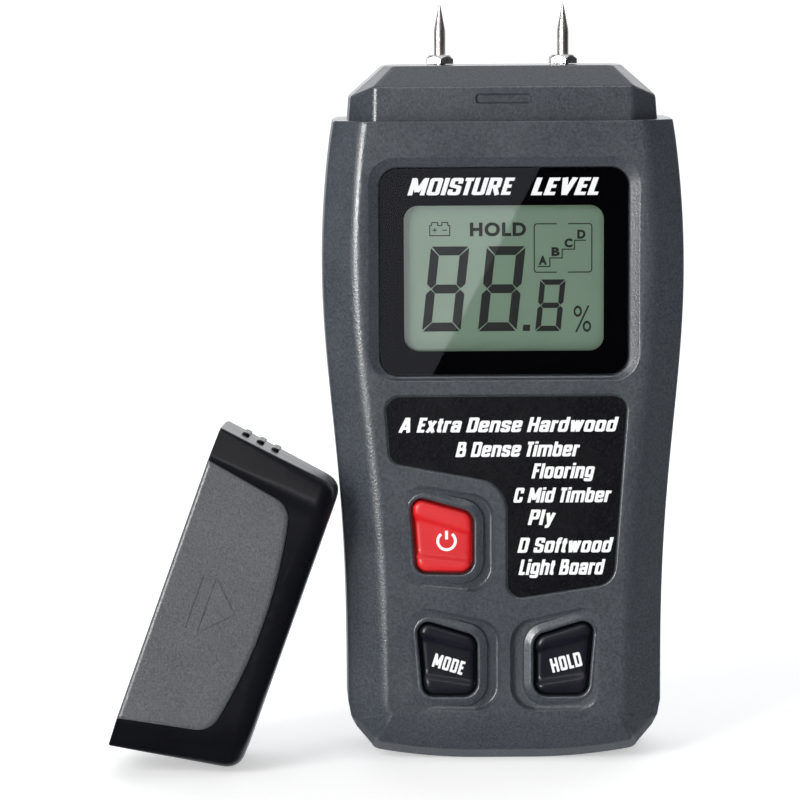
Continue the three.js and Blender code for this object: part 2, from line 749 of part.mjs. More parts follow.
function displayLayer(inset, depths) {
  const reach = DISPLAY.halfWidth - inset;
  return block([-reach, reach], depths, [DISPLAY.z0 + inset, DISPLAY.z1 - inset]);
}
place("display_glass", displayLayer(0, DISPLAY_GLASS), "display");
place("display_reflector", displayLayer(0.4, REFLECTOR), "steel");
place("display_frame", displayFrame(), "softBlack");
place("zebra_strip_lower", block([-18, 18], ZEBRA, [75, 77]), "rubber");
place("zebra_strip_upper", block([-18, 18], ZEBRA, [102.7, 104.7]), "rubber");

place("circuit_board", circuitBoard(), "board");
const onBoard = (height) => [BOARD[1] + CLEARANCE, BOARD[1] + height];
place("controller_chip", block([-7, 7], onBoard(2), [92, 106]), "softBlack");
place("buzzer", dowel(15, 86, onBoard(4.4), 4.5, 24), "softBlack");
place("filter_capacitor", dowel(-15, 86, onBoard(7.2), 2.5, 18), "steel");

for (const [name, key] of Object.entries(KEYS)) {
  const [x, z] = key.switchAt;
  place(`${name}_key`, keyCap(key), { color: key.colour, roughness: 0.4 });
  place(`${name}_switch_plunger`, dowel(x, z, [-12, -10.5], 1.7), "softBlack");
  place(`${name}_switch`, tactSwitch(key.switchAt), "steel");
}

PIN_XS.forEach((x, i) => {
  const side = ["left", "right"][i];
  place(`electrode_pin_${side}`, electrodePin(x), "steel");
  place(`collar_nut_${side}`, collarNut(x, NUT_TURNS[i]), "steel");
  place(`threaded_insert_${side}`, threadedInsert(x), "brass");
  place(`electrode_lead_${side}`, electrodeLead(x), "softBlack");
});

place("battery_9v", battery(), "batteryWrap");
for (const [name, seat] of Object.entries(TERMINALS)) {
  place(`battery_terminal_${name}`, terminal(seat), "steel");
}
place("battery_clip", snapConnector(), "softBlack");
place("battery_lead_red", batteryLead(-3), "redWire");
place("battery_lead_black", batteryLead(3), "softBlack");
const foamHeights = [BAY.z0 + CLEARANCE, BATTERY_FOOT - CLEARANCE];
place("battery_foam", block([-11, 11], [-3, 11.2], foamHeights), "foam");

HOUSING_SCREWS.forEach((at, i) => place(`housing_screw_${i + 1}`, housingScrew(at), "steel"));
BOARD_SCREWS.forEach((at, i) => place(`board_screw_${i + 1}`, boardScrew(at), "steel"));

// The cap leans on the meter's left side with its closed end down against it.
const cap = new THREE.Group();
cap.rotation.set(
  THREE.MathUtils.degToRad(2.4),
  THREE.MathUtils.degToRad(109.8),
  THREE.MathUtils.degToRad(-3.4),
  "YXZ",
);
cap.position.set(-61.9, -10.6, 33.9);
meter.add(cap);
place("cap_shell", capShell(), "softBlack", cap);
place("cap_front_panel", capPanel(-1), "housing", cap);
place("cap_rear_panel", capPanel(1), "housing", cap);

export default meter;
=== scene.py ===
"""The looks of a two-pin wood moisture meter and its pull-off cap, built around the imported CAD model.

Shapes are written in millimetres and become metres in skin(). X is the width, the display faces -Y.
"""

import math

import bmesh
import bpy
from mathutils import Matrix, Vector


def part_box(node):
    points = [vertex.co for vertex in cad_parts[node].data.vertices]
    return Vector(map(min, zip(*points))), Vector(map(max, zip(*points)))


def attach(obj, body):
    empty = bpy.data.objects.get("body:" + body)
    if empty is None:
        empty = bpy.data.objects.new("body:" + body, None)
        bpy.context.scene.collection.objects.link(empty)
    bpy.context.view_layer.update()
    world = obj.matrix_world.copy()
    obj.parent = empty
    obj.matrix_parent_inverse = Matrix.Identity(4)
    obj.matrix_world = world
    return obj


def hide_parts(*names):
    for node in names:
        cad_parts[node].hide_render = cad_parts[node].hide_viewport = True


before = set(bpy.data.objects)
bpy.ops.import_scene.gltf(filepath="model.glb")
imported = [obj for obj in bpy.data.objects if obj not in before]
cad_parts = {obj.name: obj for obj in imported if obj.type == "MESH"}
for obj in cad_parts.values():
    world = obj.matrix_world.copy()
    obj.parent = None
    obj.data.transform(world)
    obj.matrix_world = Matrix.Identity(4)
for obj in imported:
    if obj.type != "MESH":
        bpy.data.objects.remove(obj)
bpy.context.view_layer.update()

MM = 0.001


def limits(node):
    """Lowest and highest corner of a CAD node in millimetres."""
    low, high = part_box(node)
    return low / MM, high / MM


# ---- driving dimensions, in millimetres ----
FRONT_HIGH = limits("front_shell")[1]
HALF_DEPTH = limits("rear_shell")[1].y
NOSE_TOP = FRONT_HIGH.z
PARTING_LINE = 1.5  # where the two shells meet
PARTING = {-1: FRONT_HIGH.y, 1: 2 * PARTING_LINE - FRONT_HIGH.y}  # each shell's edge, by the sign of its side
BODY_TOP = 118.5
BEVEL_DEPTH = 4.5
SIDE_DRAFT = 0.5
HIP_HALF_WIDTH = 29.45
HIP_TOP = 15
WIDEST_HALF_WIDTH = 33.49
WIDEST_HEIGHT = 91
SHOULDER_HALF_WIDTH = 31.4
BEVEL_RUN_BASE = 7.6
BEVEL_RUN_TOP = 5.95
NOSE_HALF_DEPTH = 13.1
WALL = 2
FACE = -HALF_DEPTH  # the front face

LENS_LOW, LENS_HIGH = limits("window_lens")
INK = (LENS_HIGH.y + 0.05, LENS_HIGH.y + 0.1)  # printed border behind the lens
LENS_HALF_WIDTH = LENS_HIGH.x
LENS_RADIUS = 3.4
RECESS = [-24.45, 71.3, 24.45, 111.8, 4.6]  # x0, z0, x1, z1, corner radius
DISPLAY_OPENING = [-18.2, 76.5, 18.2, 103.1, 2.6]
GLASS_LOW = limits("display_glass")[0]
PRINT = 0.03  # thickness of printed marks

LABEL = [
    (-21.9, 68.5, 2.6),
    (-21.0, 56.2, 2.4),
    (0.4, 52.2, 6),
    (0.4, 30.7, 2.6),
    (20.0, 33.7, 3.6),
    (22.5, 68.5, 2.6),
]
LABEL_LOW, LABEL_HIGH = limits("species_label")

CAP_FRAME = (
    Matrix.Translation(Vector((-61.9, -10.6, 33.9)) * MM)
    @ Matrix.Rotation(math.radians(109.8), 4, "Y")
    @ Matrix.Rotation(math.radians(2.4), 4, "X")
    @ Matrix.Rotation(math.radians(-3.4), 4, "Z")
)
CAP_HEIGHT = 24


# ---- outlines ----
def mix(a, b, share):
    return a + (b - a) * share


def smooth(share):
    share = min(1.0, max(0.0, share))
    return share * share * (3 - 2 * share)


def rounded(corners, steps=8):
    """A closed outline of corners (x, z, radius), each corner turned into an arc."""
    points = []
    for i, (x, z, radius) in enumerate(corners):
        here = Vector((x, z))
        if radius <= 0:
            points.append(here)
            continue
        to_before = (Vector(corners[i - 1][:2]) - here).normalized()
        to_after = (Vector(corners[(i + 1) % len(corners)][:2]) - here).normalized()
        half = to_before.angle(to_after) / 2
        centre = here + (to_before + to_after).normalized() * (radius / math.sin(half))
        start = here + to_before * (radius / math.tan(half)) - centre
        end = here + to_after * (radius / math.tan(half)) - centre
        sweep = math.atan2(start.x * end.y - start.y * end.x, start.dot(end))
        for step in range(steps + 1):
            turn = Matrix.Rotation(sweep * step / steps, 2)
            points.append(centre + turn @ start)
    return points


def grown(corners, distance):
    """The same corners with every edge moved outwards by one distance."""
    moved = []
    for i, (x, z, radius) in enumerate(corners):
        x0, z0, _ = corners[i - 1]
        x1, z1, _ = corners[(i + 1) % len(corners)]
        before = Vector((z - z0, x0 - x)).normalized()
        after = Vector((z1 - z, x - x1)).normalized()
        shift = (before + after) * (distance / (1 + before.dot(after)))
        turn = math.copysign(1, before.x * after.y - before.y * after.x)
        moved.append((x + shift.x, z + shift.y, max(radius + turn * distance, 0.05)))
    return moved


def divided(outline, arc_points, pieces):
    """A rounded outline with extra points along its straight edges, between one arc and the next."""
    points = []
    for i, point in enumerate(outline):
        points.append(point)
        if (i + 1) % arc_points == 0:
            following = outline[(i + 1) % len(outline)]
            points += [point.lerp(following, step / pieces) for step in range(1, pieces)]
    return points


def rectangle(x0, z0, x1, z1, radius):
    """Corners of an upright rectangle, anticlockwise."""
    return [(x0, z0, radius), (x1, z0, radius), (x1, z1, radius), (x0, z1, radius)]


def softened(path, reaches, steps=4):
    """A path with a curve at each inner corner, starting `reach` before it."""
    points = [path[0]]
    for before, corner, after, reach in zip(path, path[1:], path[2:], reaches):
        back, ahead = before - corner, after - corner
        start = corner + back * min(reach / max(back.length, 1e-6), 0.49)
        end = corner + ahead * min(reach / max(ahead.length, 1e-6), 0.49)
        for step in range(steps + 1):
            t = step / steps
            points.append(start.lerp(corner, t).lerp(corner.lerp(end, t), t))
    points.append(path[-1])
    return points


# ---- meshes ----
def around(sides):
    """The angles of evenly spaced points round a circle."""
    return [2 * math.pi * i / sides for i in range(sides)]


def link(name, mesh):
    made = bpy.data.objects.new(name, mesh)
    bpy.context.scene.collection.objects.link(made)
    return made


def from_bmesh(name, work):
    bmesh.ops.remove_doubles(work, verts=work.verts, dist=2e-6)
    bmesh.ops.recalc_face_normals(work, faces=work.faces)
    mesh = bpy.data.meshes.new(name)
    work.to_mesh(mesh)
    work.free()
    return link(name, mesh)


def skin(name, rings, closed=False):
    """A skin through rings of equal point count, in millimetres, with flat ends or closed on itself."""
    work = bmesh.new()
    rows = [[work.verts.new(Vector(p) * MM) for p in ring] for ring in rings]
    count = len(rows[0])
    for row, following in zip(rows, rows[1:] + rows[:1] if closed else rows[1:]):
        for i in range(count):
            j = (i + 1) % count
            work.faces.new((row[i], row[j], following[j], following[i]))
    if not closed:
        work.faces.new(reversed(rows[0]))
        work.faces.new(rows[-1])
    return from_bmesh(name, work)


def at_depth(outline, y):
    return [(x, y, z) for x, z in outline]


def plate(name, corners, levels, steps=8):
    """A plate whose outline is grown by each level's first number at the depth of its second."""
    return skin(name, [at_depth(rounded(grown(corners, grow), steps), y) for grow, y in levels])


def block(x, y, z):
    return skin("block", [[(x[0], y[i], z[0]), (x[1], y[i], z[0]), (x[1], y[i], z[1]), (x[0], y[i], z[1])]
                          for i in (0, 1)])


def dowel(x, z, y, radius, sides=32):
    """A cylinder along Y."""
    ring = [(x + radius * math.cos(a), z + radius * math.sin(a)) for a in around(sides)]
    return skin("dowel", [at_depth(ring, y[0]), at_depth(ring, y[1])])


def post(x, z, radius, sides=32):
    """A cylinder along Z on the line y = 0."""
    ring = [(x + radius * math.cos(a), radius * math.sin(a)) for a in around(sides)]
    return skin("post", [[(*point, height) for point in ring] for height in z])


def spun(name, profile, x=0, sides=48):
    """A turned piece: profile points are (radius, z), from the axis to the axis."""
    return skin(name, [[(x + r * math.cos(a), r * math.sin(a), z) for a in around(sides)]
                       for r, z in profile])


def settle(target):
    """Applies every modifier of an object."""
    graph = bpy.context.evaluated_depsgraph_get()
    mesh = bpy.data.meshes.new_from_object(target.evaluated_get(graph))
    target.modifiers.clear()
    target.data = mesh
    return target


def combine(target, operation, tools):
    for tool in tools:
        modifier = target.modifiers.new(operation, "BOOLEAN")
        modifier.operation = operation
        modifier.solver = "MANIFOLD"
        modifier.object = tool
    settle(target)
    for tool in tools:
        bpy.data.objects.remove(tool)
    return target


def cut(target, *tools):
    return combine(target, "DIFFERENCE", tools)


def join(target, *tools):
    return combine(target, "UNION", tools)


def finish(piece, body, material, replaces=(), smooth_angle=35):
    """Smooth shading that keeps the flats flat, a material, and the CAD body that it rides on."""
    for polygon in piece.data.polygons:
        polygon.use_smooth = True
    piece.data.set_sharp_from_angle(angle=math.radians(smooth_angle))
    weighted = piece.modifiers.new("flat_faces_lead", "WEIGHTED_NORMAL")
    weighted.keep_sharp = True
    weighted.weight = 60
    piece.data.materials.clear()
    piece.data.materials.append(material)
    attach(piece, body)
    if replaces:
        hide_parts(*replaces)
    return piece


def merged(name, pieces):
    """Several small meshes as one piece."""
    work = bmesh.new()
    for piece in pieces:
        piece.data.transform(piece.matrix_world)
        work.from_mesh(piece.data)
        bpy.data.objects.remove(piece)
    mesh = bpy.data.meshes.new(name)
    work.to_mesh(mesh)
    work.free()
    return link(name, mesh)


# ---- materials ----
NOISE_RANGE = (0.3, 0.7)


class Surface:
    """A node material under construction."""

    def __init__(self, name):
        self.material = bpy.data.materials.new(name)
        self.material.use_nodes = True
        self.tree = self.material.node_tree
        self.shader = self.tree.nodes["Principled BSDF"]
        place = self.add("TexCoord")
        scaled = self.add("VectorMath", {0: place.outputs["Object"], "Scale": 1 / MM}, operation="SCALE")
        self.place = scaled.outputs[0]  # in millimetres

    def add(self, kind, inputs=None, **settings):
        made = self.tree.nodes.new("ShaderNode" + kind)
        for key, value in settings.items():
            setattr(made, key, value)
        for key, value in (inputs or {}).items():
            if isinstance(value, bpy.types.NodeSocket):
                self.tree.links.new(value, made.inputs[key])
            else:
                made.inputs[key].default_value = value
        return made

    def stretch(self, scale):
        return self.add("VectorMath", {0: self.place, 1: scale}, operation="MULTIPLY").outputs[0]

    def noise(self, size, detail=2.0, place=None):
        made = self.add("TexNoise", {"Vector": place or self.place, "Scale": 1 / size, "Detail": detail})
        return made.outputs["Fac"]

    def band(self, value, low, high, to_low, to_high):
        made = self.add("MapRange", {"Value": value, "From Min": low, "From Max": high,
                                     "To Min": to_low, "To Max": to_high})
        return made.outputs["Result"]

    def spread(self, noise, to_low, to_high):
        """Noise stretched from the range that it mostly fills to another one."""
        return self.band(noise, *NOISE_RANGE, to_low, to_high)

    def times(self, a, b):
        return self.add("Math", {0: a, 1: b}, operation="MULTIPLY").outputs[0]

    def plus(self, a, b):
        return self.add("Math", {0: a, 1: b}, operation="ADD").outputs[0]

    def blend(self, share, first, second):
        made = self.add("MixRGB", {"Fac": share, "Color1": first, "Color2": second})
        return made.outputs["Color"]

    def shade(self, colour, amount):
        """A colour made lighter or darker by a factor that varies over the surface."""
        grey = self.add("CombineColor", {0: amount, 1: amount, 2: amount}).outputs[0]
        made = self.add("MixRGB", {"Fac": 1.0, "Color1": colour, "Color2": grey}, blend_type="MULTIPLY")
        return made.outputs["Color"]

    def relief(self, height, depth, normal=None):
        inputs = {"Height": height, "Distance": depth * MM, "Strength": 1.0}
        if normal:
            inputs["Normal"] = normal
        return self.add("Bump", inputs).outputs["Normal"]

    def set(self, **values):
        for key, value in values.items():
            socket = self.shader.inputs[key.replace("_", " ").title().replace("Ior", "IOR")]
            if isinstance(value, bpy.types.NodeSocket):
                self.tree.links.new(value, socket)
            else:
                socket.default_value = value
        return self


def rgb(red, green, blue):
    """A linear colour as a socket takes it."""
    return (red, green, blue, 1.0)


def moulded(name, colour, roughness, grain=0.22, depth=0.02, speckle=0.16, mottle=0.08, wear=0.25,
            specular=0.5):
    """Moulded plastic: spark-eroded grain, faint flow marks, and edges rubbed lighter and smoother."""
    made = Surface(name)
    fine = made.noise(grain, 3)
    broad = made.noise(9.0, 2)
    worn = made.band(made.add("NewGeometry").outputs["Pointiness"], 0.53, 0.60, 0.0, wear)
    scuffs = made.times(worn, made.band(made.noise(1.6, 4), 0.42, 0.62, 0.0, 1.0))
    tone = made.plus(made.spread(fine, 1 - speckle, 1 + speckle), made.spread(broad, -mottle, mottle))
    base = made.shade(rgb(*colour), tone)
    lighter = rgb(*[min(1.0, c * 1.5 + 0.02) for c in colour])
    made.set(base_color=made.blend(scuffs, base, lighter))
    rough = made.spread(broad, roughness - 0.04, roughness + 0.04)
    rough = made.plus(rough, made.times(scuffs, -0.12))
    made.set(roughness=rough, normal=made.relief(fine, depth), specular_ior_level=specular)
    return made.material


def metal(name, colour, roughness, lay=(1, 1, 12), depth=0.004):
    """Bare metal with tool marks: lay squeezes the marks along one axis."""
    made = Surface(name)
    marks = made.noise(0.9, 4, made.stretch(lay))
    stain = made.noise(2.5, 3)
    made.set(base_color=made.shade(rgb(*colour), made.spread(stain, 0.86, 1.06)))
    made.set(metallic=1.0, roughness=made.spread(marks, roughness * 0.75, roughness * 1.3))
    made.set(normal=made.relief(marks, depth))
    return made.material


def ink(name, colour, roughness=0.45, specular=0.3):
    """Screen print: nearly flat, with a faint mesh in it."""
    made = Surface(name)
    mesh = made.noise(0.12, 1)
    made.set(base_color=made.shade(rgb(*colour), made.spread(mesh, 0.94, 1.05)))
    made.set(roughness=made.spread(mesh, roughness - 0.05, roughness + 0.05))
    made.set(normal=made.relief(mesh, 0.002), specular_ior_level=specular)
    return made.material


def clear_lens(name):
    """A flat clear window: what is behind shows unbent, and the face mirrors like acrylic."""
    made = Surface(name)
    made.tree.nodes.remove(made.shader)
    haze = made.noise(3.0, 4)
    mirror = made.add("BsdfAnisotropic", {"Color": rgb(0.93, 0.93, 1.0)})
    made.tree.links.new(made.spread(haze, 0.002, 0.008), mirror.inputs["Roughness"])
    see = made.add("BsdfTransparent", {"Color": rgb(0.99, 0.99, 0.99)})
    front = made.band(made.add("NewGeometry").outputs["Backfacing"], 0, 1, 1, 0)
    share = made.times(made.add("Fresnel", {"IOR": 1.49}).outputs[0], front)
    mixed = made.add("MixShader", {0: share, 1: see.outputs[0], 2: mirror.outputs[0]})
    made.tree.links.new(mixed.outputs[0], made.tree.nodes["Material Output"].inputs["Surface"])
    return made.material


def liquid_crystal(name):
    """Grey-green reflective display glass, with fine cells and a broad random variation in tone."""
    made = Surface(name)
    cells = made.noise(0.2, 1)
    broad = made.noise(14.0, 1)
    tone = made.plus(made.spread(cells, 0.97, 1.03), made.spread(broad, -0.03, 0.03))
    made.set(base_color=made.shade(rgb(*LCD_COLOUR), tone))
    made.set(roughness=made.spread(cells, 0.3, 0.4), normal=made.relief(cells, 0.001))
    made.set(coat_weight=1.0, coat_roughness=0.02, coat_ior=2.5)
    return made.material


def foam(name, colour):
    made = Surface(name)
    cells = made.add("TexVoronoi", {"Vector": made.place, "Scale": 1.6}).outputs["Distance"]
    made.set(base_color=made.shade(rgb(*colour), made.band(cells, 0.0, 0.8, 0.6, 1.1)))
    made.set(roughness=made.band(cells, 0.0, 0.8, 0.85, 0.98), normal=made.relief(cells, 0.2))
    return made.material


def solder_mask(name):
    """Green board with copper tracks showing as slightly raised lighter runs."""
    made = Surface(name)
    runs = made.add("TexBrick", {"Vector": made.stretch((0.35, 1, 0.35)), "Scale": 1.0, "Mortar Size": 0.06,
                                 "Color1": rgb(0, 0, 0), "Color2": rgb(0, 0, 0), "Mortar": rgb(1, 1, 1)})
    weave = made.noise(0.5, 2)
    tracks = made.times(runs.outputs["Fac"], 0.8)
    made.set(base_color=made.shade(made.blend(tracks, rgb(0.012, 0.09, 0.035), rgb(0.03, 0.17, 0.07)),
                                   made.spread(weave, 0.9, 1.1)))
    made.set(roughness=made.spread(weave, 0.32, 0.42), normal=made.relief(runs.outputs["Fac"], 0.03))
    made.set(coat_weight=0.3)
    return made.material


def wrapped_cell(name):
    """Battery wrap: dark sleeve with a copper-coloured band at its top and a printed line below it."""
    made = Surface(name)
    height = made.add("SeparateXYZ", {0: made.place}).outputs[2]
    top = made.add("Math", {0: height, 1: 54.0}, operation="GREATER_THAN").outputs[0]
    line = made.add("Math", {0: height, 1: 51.5, 2: 0.5}, operation="COMPARE")
    scuff = made.noise(0.6, 4)
    sleeve = made.blend(top, rgb(0.012, 0.016, 0.03), rgb(0.42, 0.2, 0.09))
    printed = made.blend(line.outputs[0], sleeve, rgb(0.6, 0.6, 0.58))
    made.set(base_color=made.shade(printed, made.spread(scuff, 0.9, 1.08)))
    made.set(roughness=made.spread(scuff, 0.22, 0.36), metallic=made.times(top, 0.8))
    made.set(normal=made.relief(scuff, 0.004))
    return made.material


HOUSING_COLOUR = (0.050, 0.0585, 0.0705)
LCD_COLOUR = (0.168, 0.260, 0.183)

LOOKS = {
    "housing": moulded("slate_grey_moulding", HOUSING_COLOUR, 0.33, 0.4, 0.045, 0.34, 0.04, specular=0.6),
    "soft_black": moulded("satin_black_moulding", (0.0046, 0.0048, 0.0075), 0.29, 0.2, 0.008, 0.10,
                          specular=0.26),
    "key_black": moulded("black_key_moulding", (0.0085, 0.0088, 0.0160), 0.34, 0.14, 0.004, 0.08,
                         specular=0.26),
    "red_key": moulded("red_key_moulding", (0.66, 0.010, 0.014), 0.42, 0.12, 0.004, 0.04, 0.04, 0.1, 0.38),
    "cap_grey": moulded("grained_cap_panel", (0.088, 0.093, 0.100), 0.36, 0.34, 0.06, 0.30, 0.04),
    "label": moulded("grained_black_overlay", (0.0050, 0.0050, 0.0072), 0.27, 0.36, 0.05, 0.7, 0.05, 0, 0.3),
    "white_ink": ink("white_screen_print", (0.86, 0.87, 0.88)),
    "black_ink": ink("black_border_print", (0.0015, 0.0015, 0.002), 0.35, 0.0),
    "segment_ink": ink("liquid_crystal_segments", (0.006, 0.008, 0.007), 0.5),
    "lens": clear_lens("clear_window"),
    "display": liquid_crystal("liquid_crystal_glass"),
    "steel": metal("turned_steel", (0.66, 0.62, 0.60), 0.33, depth=0.002),
    "bright_steel": metal("plated_steel", (0.72, 0.70, 0.68), 0.30, (1, 1, 1), 0.002),
    "zinc": metal("zinc_plated_screw", (0.58, 0.57, 0.52), 0.3, (1, 1, 1)),
    "reflector": metal("matt_reflector_film", (0.45, 0.50, 0.45), 0.45, (1, 1, 1)),
    "brass": metal("machined_brass", (0.66, 0.46, 0.20), 0.24),
    "board": solder_mask("green_solder_mask"),
    "rubber": moulded("black_elastomer", (0.014, 0.014, 0.014), 0.72, 0.3, 0.02, 0.15),
    "foam": foam("grey_foam", (0.16, 0.165, 0.17)),
    "red_wire": moulded("red_wire_insulation", (0.42, 0.012, 0.012), 0.4, 0.5, 0.01, 0.05, 0.04, 0),
    "black_wire": moulded("black_wire_insulation", (0.012, 0.012, 0.013), 0.4, 0.5, 0.01, 0.05, 0.04, 0),
    "battery_wrap": wrapped_cell("battery_wrap"),
}


# ---- the housing's form ----
def body_half_width(z):
    if z >= WIDEST_HEIGHT:
        rise = (z - WIDEST_HEIGHT) / (BODY_TOP - WIDEST_HEIGHT)
        return WIDEST_HALF_WIDTH - (WIDEST_HALF_WIDTH - SHOULDER_HALF_WIDTH) * rise**2
    rise = max(0.0, (z - HIP_TOP) / (WIDEST_HEIGHT - HIP_TOP))
    swell = (1 - math.cos(math.pi * rise**1.35)) / 2
    return HIP_HALF_WIDTH + (WIDEST_HALF_WIDTH - HIP_HALF_WIDTH) * swell


def flat_half_width(z):
    return body_half_width(z) - mix(BEVEL_RUN_BASE, BEVEL_RUN_TOP, z / BODY_TOP)


CORNER_START = 22.0  # half width at which the base turns up into its corner
CORNER_TOP = 11.0
TOP_ROUNDING = 0.35


def base_rise(x):
    return 1.7 * (max(0.0, x - 5) / 18.6) ** 2


def silhouette():
    """Right half of the front view from the bottom centre to the top centre: (x, z, share of base)."""
    stations = [(x * CORNER_START / 9, base_rise(x * CORNER_START / 9), 1.0) for x in range(9)]
    corner = rounded([
        (CORNER_START, base_rise(CORNER_START), 0),
        (24.3, 1.85, 3.5),
        (28.75, 7.0, 4.5),
        (body_half_width(CORNER_TOP), CORNER_TOP, 0),
    ], 6)
    for i, point in enumerate(corner):
        stations.append((point.x, point.y, 1 - smooth(i / (len(corner) - 1))))
    count = 36
    for i in range(1, count):
        z = mix(CORNER_TOP, BODY_TOP - TOP_ROUNDING, i / count)
        stations.append((body_half_width(z), z, 0.0))
    half = body_half_width(BODY_TOP)
    for step in range(4):
        turn = math.radians(30 * step)
        z = BODY_TOP - TOP_ROUNDING * (1 - math.sin(turn))
        stations.append((half - TOP_ROUNDING * (1 - math.cos(turn)), z, 0.0))
    inner = half - TOP_ROUNDING
    stations += [(inner * (1 - i / 8), BODY_TOP, 0.0) for i in range(1, 9)]
    return stations


def body_path(x, z, low, side):
    """One station's way from the parting line round to the flat face. side is -1 in front, 1 behind."""
    half = body_half_width(min(z, BODY_TOP))
    on_top = z > BODY_TOP - 1e-6
    share = x / (half - TOP_ROUNDING) if on_top else 1.0
    flat = flat_half_width(BODY_TOP) - TOP_ROUNDING
    edge_x = x - SIDE_DRAFT * (1 - low) * share - 3.0 * low * (1 - low)
    edge_z = z + 2.4 * low + 2.6 * low * (1 - low)
    edge_y = mix(HALF_DEPTH - BEVEL_DEPTH, HALF_DEPTH - 2, low)
    if on_top:
        face_x, face_z = flat * share, z
    elif low > 0:
        face_x = mix(flat_half_width(CORNER_TOP), x * 21.6 / CORNER_START, low)
        face_x = min(face_x, 21.7) if low < 1 else face_x
        face_z = mix(max(z, 9.6), 7.0 + z * 0.3, low)
    else:
        face_x, face_z = x - (half - flat_half_width(z)), z
    base_y = mix(HALF_DEPTH - BEVEL_DEPTH - 0.8, HALF_DEPTH - 5.3, low)
    base_x = mix(x, edge_x, 0.9 * (1 - low))
    start = PARTING[side]
    path = [
        Vector((x - 0.15 * share * (1 - low), start, min(z, BODY_TOP) + 0.15 * low)),
        Vector((x, start + side * 0.15, z)),
        Vector((base_x, side * base_y, z)),
        Vector((edge_x, side * edge_y, edge_z)),
        Vector((face_x, side * HALF_DEPTH, face_z)),
        Vector((face_x * 0.86, side * HALF_DEPTH, 64 + (face_z - 64) * 0.9)),
    ]
    on_side = 0 if on_top else 1 - low
    at_face = 2.45 * low + 1.4 * on_side + (0.35 if on_top else 0)
    reaches = [0.0, 0.5 * low, 0.5 * low + 0.9 * on_side, at_face]
    return softened(path, reaches, 5)


def body_half(side):
    right = [body_path(x, z, low, side) for x, z, low in silhouette()]
    mirrored = [[Vector((-p.x, p.y, p.z)) for p in path] for path in right[1:-1]]
    paths = right + mirrored[::-1]
    return skin("body_half", [list(ring) for ring in zip(*paths)])


NOSE_SECTIONS = [
    {"flat": 23.5, "side": 28.7, "depth": NOSE_HALF_DEPTH, "bevel": BEVEL_DEPTH},
    {"flat": 23.4, "side": 28.3, "depth": NOSE_HALF_DEPTH, "bevel": BEVEL_DEPTH},
    {"flat": 19.7, "side": 22.1, "depth": 8, "bevel": 2.6},
]
NOSE_FOOT = BODY_TOP - 0.6
NOSE_WAIST_FLAT = 124.6
NOSE_WAIST_SIDE = 122.8


def nose_half(side):
    """Front or rear half of the nose: a straight foot, then facets that close in to the crown."""
    rings = []
    for section in NOSE_SECTIONS:
        edge = section["side"] - SIDE_DRAFT
        edge_y = section["depth"] - section["bevel"]
        right = [(section["flat"], section["depth"], 1.6), (edge, edge_y, 0.8), (section["side"], 0, 0.15)]
        half = [(x, side * y, r) for x, y, r in right]
        half[-1] = (section["side"], PARTING[side], 0.15)
        rings.append(rounded(half + [(-x, y, r) for x, y, r in half[::-1]], 5))
    paths = []
    for foot, waist, crown in zip(*rings):
        out = smooth((abs(waist.x) - 23.4) / (28.3 - 23.4))
        waist_z = mix(NOSE_WAIST_FLAT, NOSE_WAIST_SIDE, out)
        path = [
            Vector((foot.x, foot.y, NOSE_FOOT)),
            Vector((waist.x, waist.y, waist_z)),
            Vector((crown.x, crown.y, NOSE_TOP)),
            Vector((crown.x * 0.8, mix(PARTING[side], crown.y, 0.8), NOSE_TOP)),
        ]
        paths.append(softened(path, [0.5, 0.45], 4))
    return skin("nose_half", [list(ring) for ring in zip(*paths)])


def cavity():
    """The room inside both shells, in plain facets."""
    rings = []
    for z, half, roll in ((2.2, 21.0, 2.1), (7.0, 26.0, 0.4), (10.5, None, 0), (40, None, 0), (65, None, 0),
                          (91, None, 0), (BODY_TOP - WALL, None, 0)):
        side = half or body_half_width(z) - WALL
        flat = min(side - 1, flat_half_width(max(z, 10)) - 1)
        depth = HALF_DEPTH - WALL - roll
        ring = [(flat, -depth), (side - SIDE_DRAFT, BEVEL_DEPTH - depth), (side, PARTING_LINE),
                (side - SIDE_DRAFT, depth - BEVEL_DEPTH), (flat, depth)]
        ring += [(-x, y) for x, y in ring[::-1]]
        rings.append([(x, y, z) for x, y in ring])
    return skin("cavity", rings)


PIN_XS = [(limits(f"electrode_pin_{side}")[0].x + limits(f"electrode_pin_{side}")[1].x) / 2
          for side in ("left", "right")]
PIN_RADIUS = (limits("electrode_pin_left")[1].x - limits("electrode_pin_left")[0].x) / 2
NUT_RADIUS = 2.79  # to a corner
INSERT_HIGH = limits("threaded_insert_left")[1]
HOUSING_SCREWS = [(-22, 113.2), (22, 113.2), (-18.8, 10.8), (18.8, 10.8)]
SCREW_HEAD_FOOT = 8.2
BOARD_SCREWS = [(-21.5, 67), (21.5, 67), (0, 9.5)]


def electrode_seats():
    tools = []
    for x in PIN_XS:
        tools.append(post(x, (BODY_TOP - WALL - 0.5, INSERT_HIGH.z + 0.2), 3.2))
        tools.append(post(x, (INSERT_HIGH.z - 0.1, NOSE_TOP + 1), PIN_RADIUS + 0.35))
    return tools


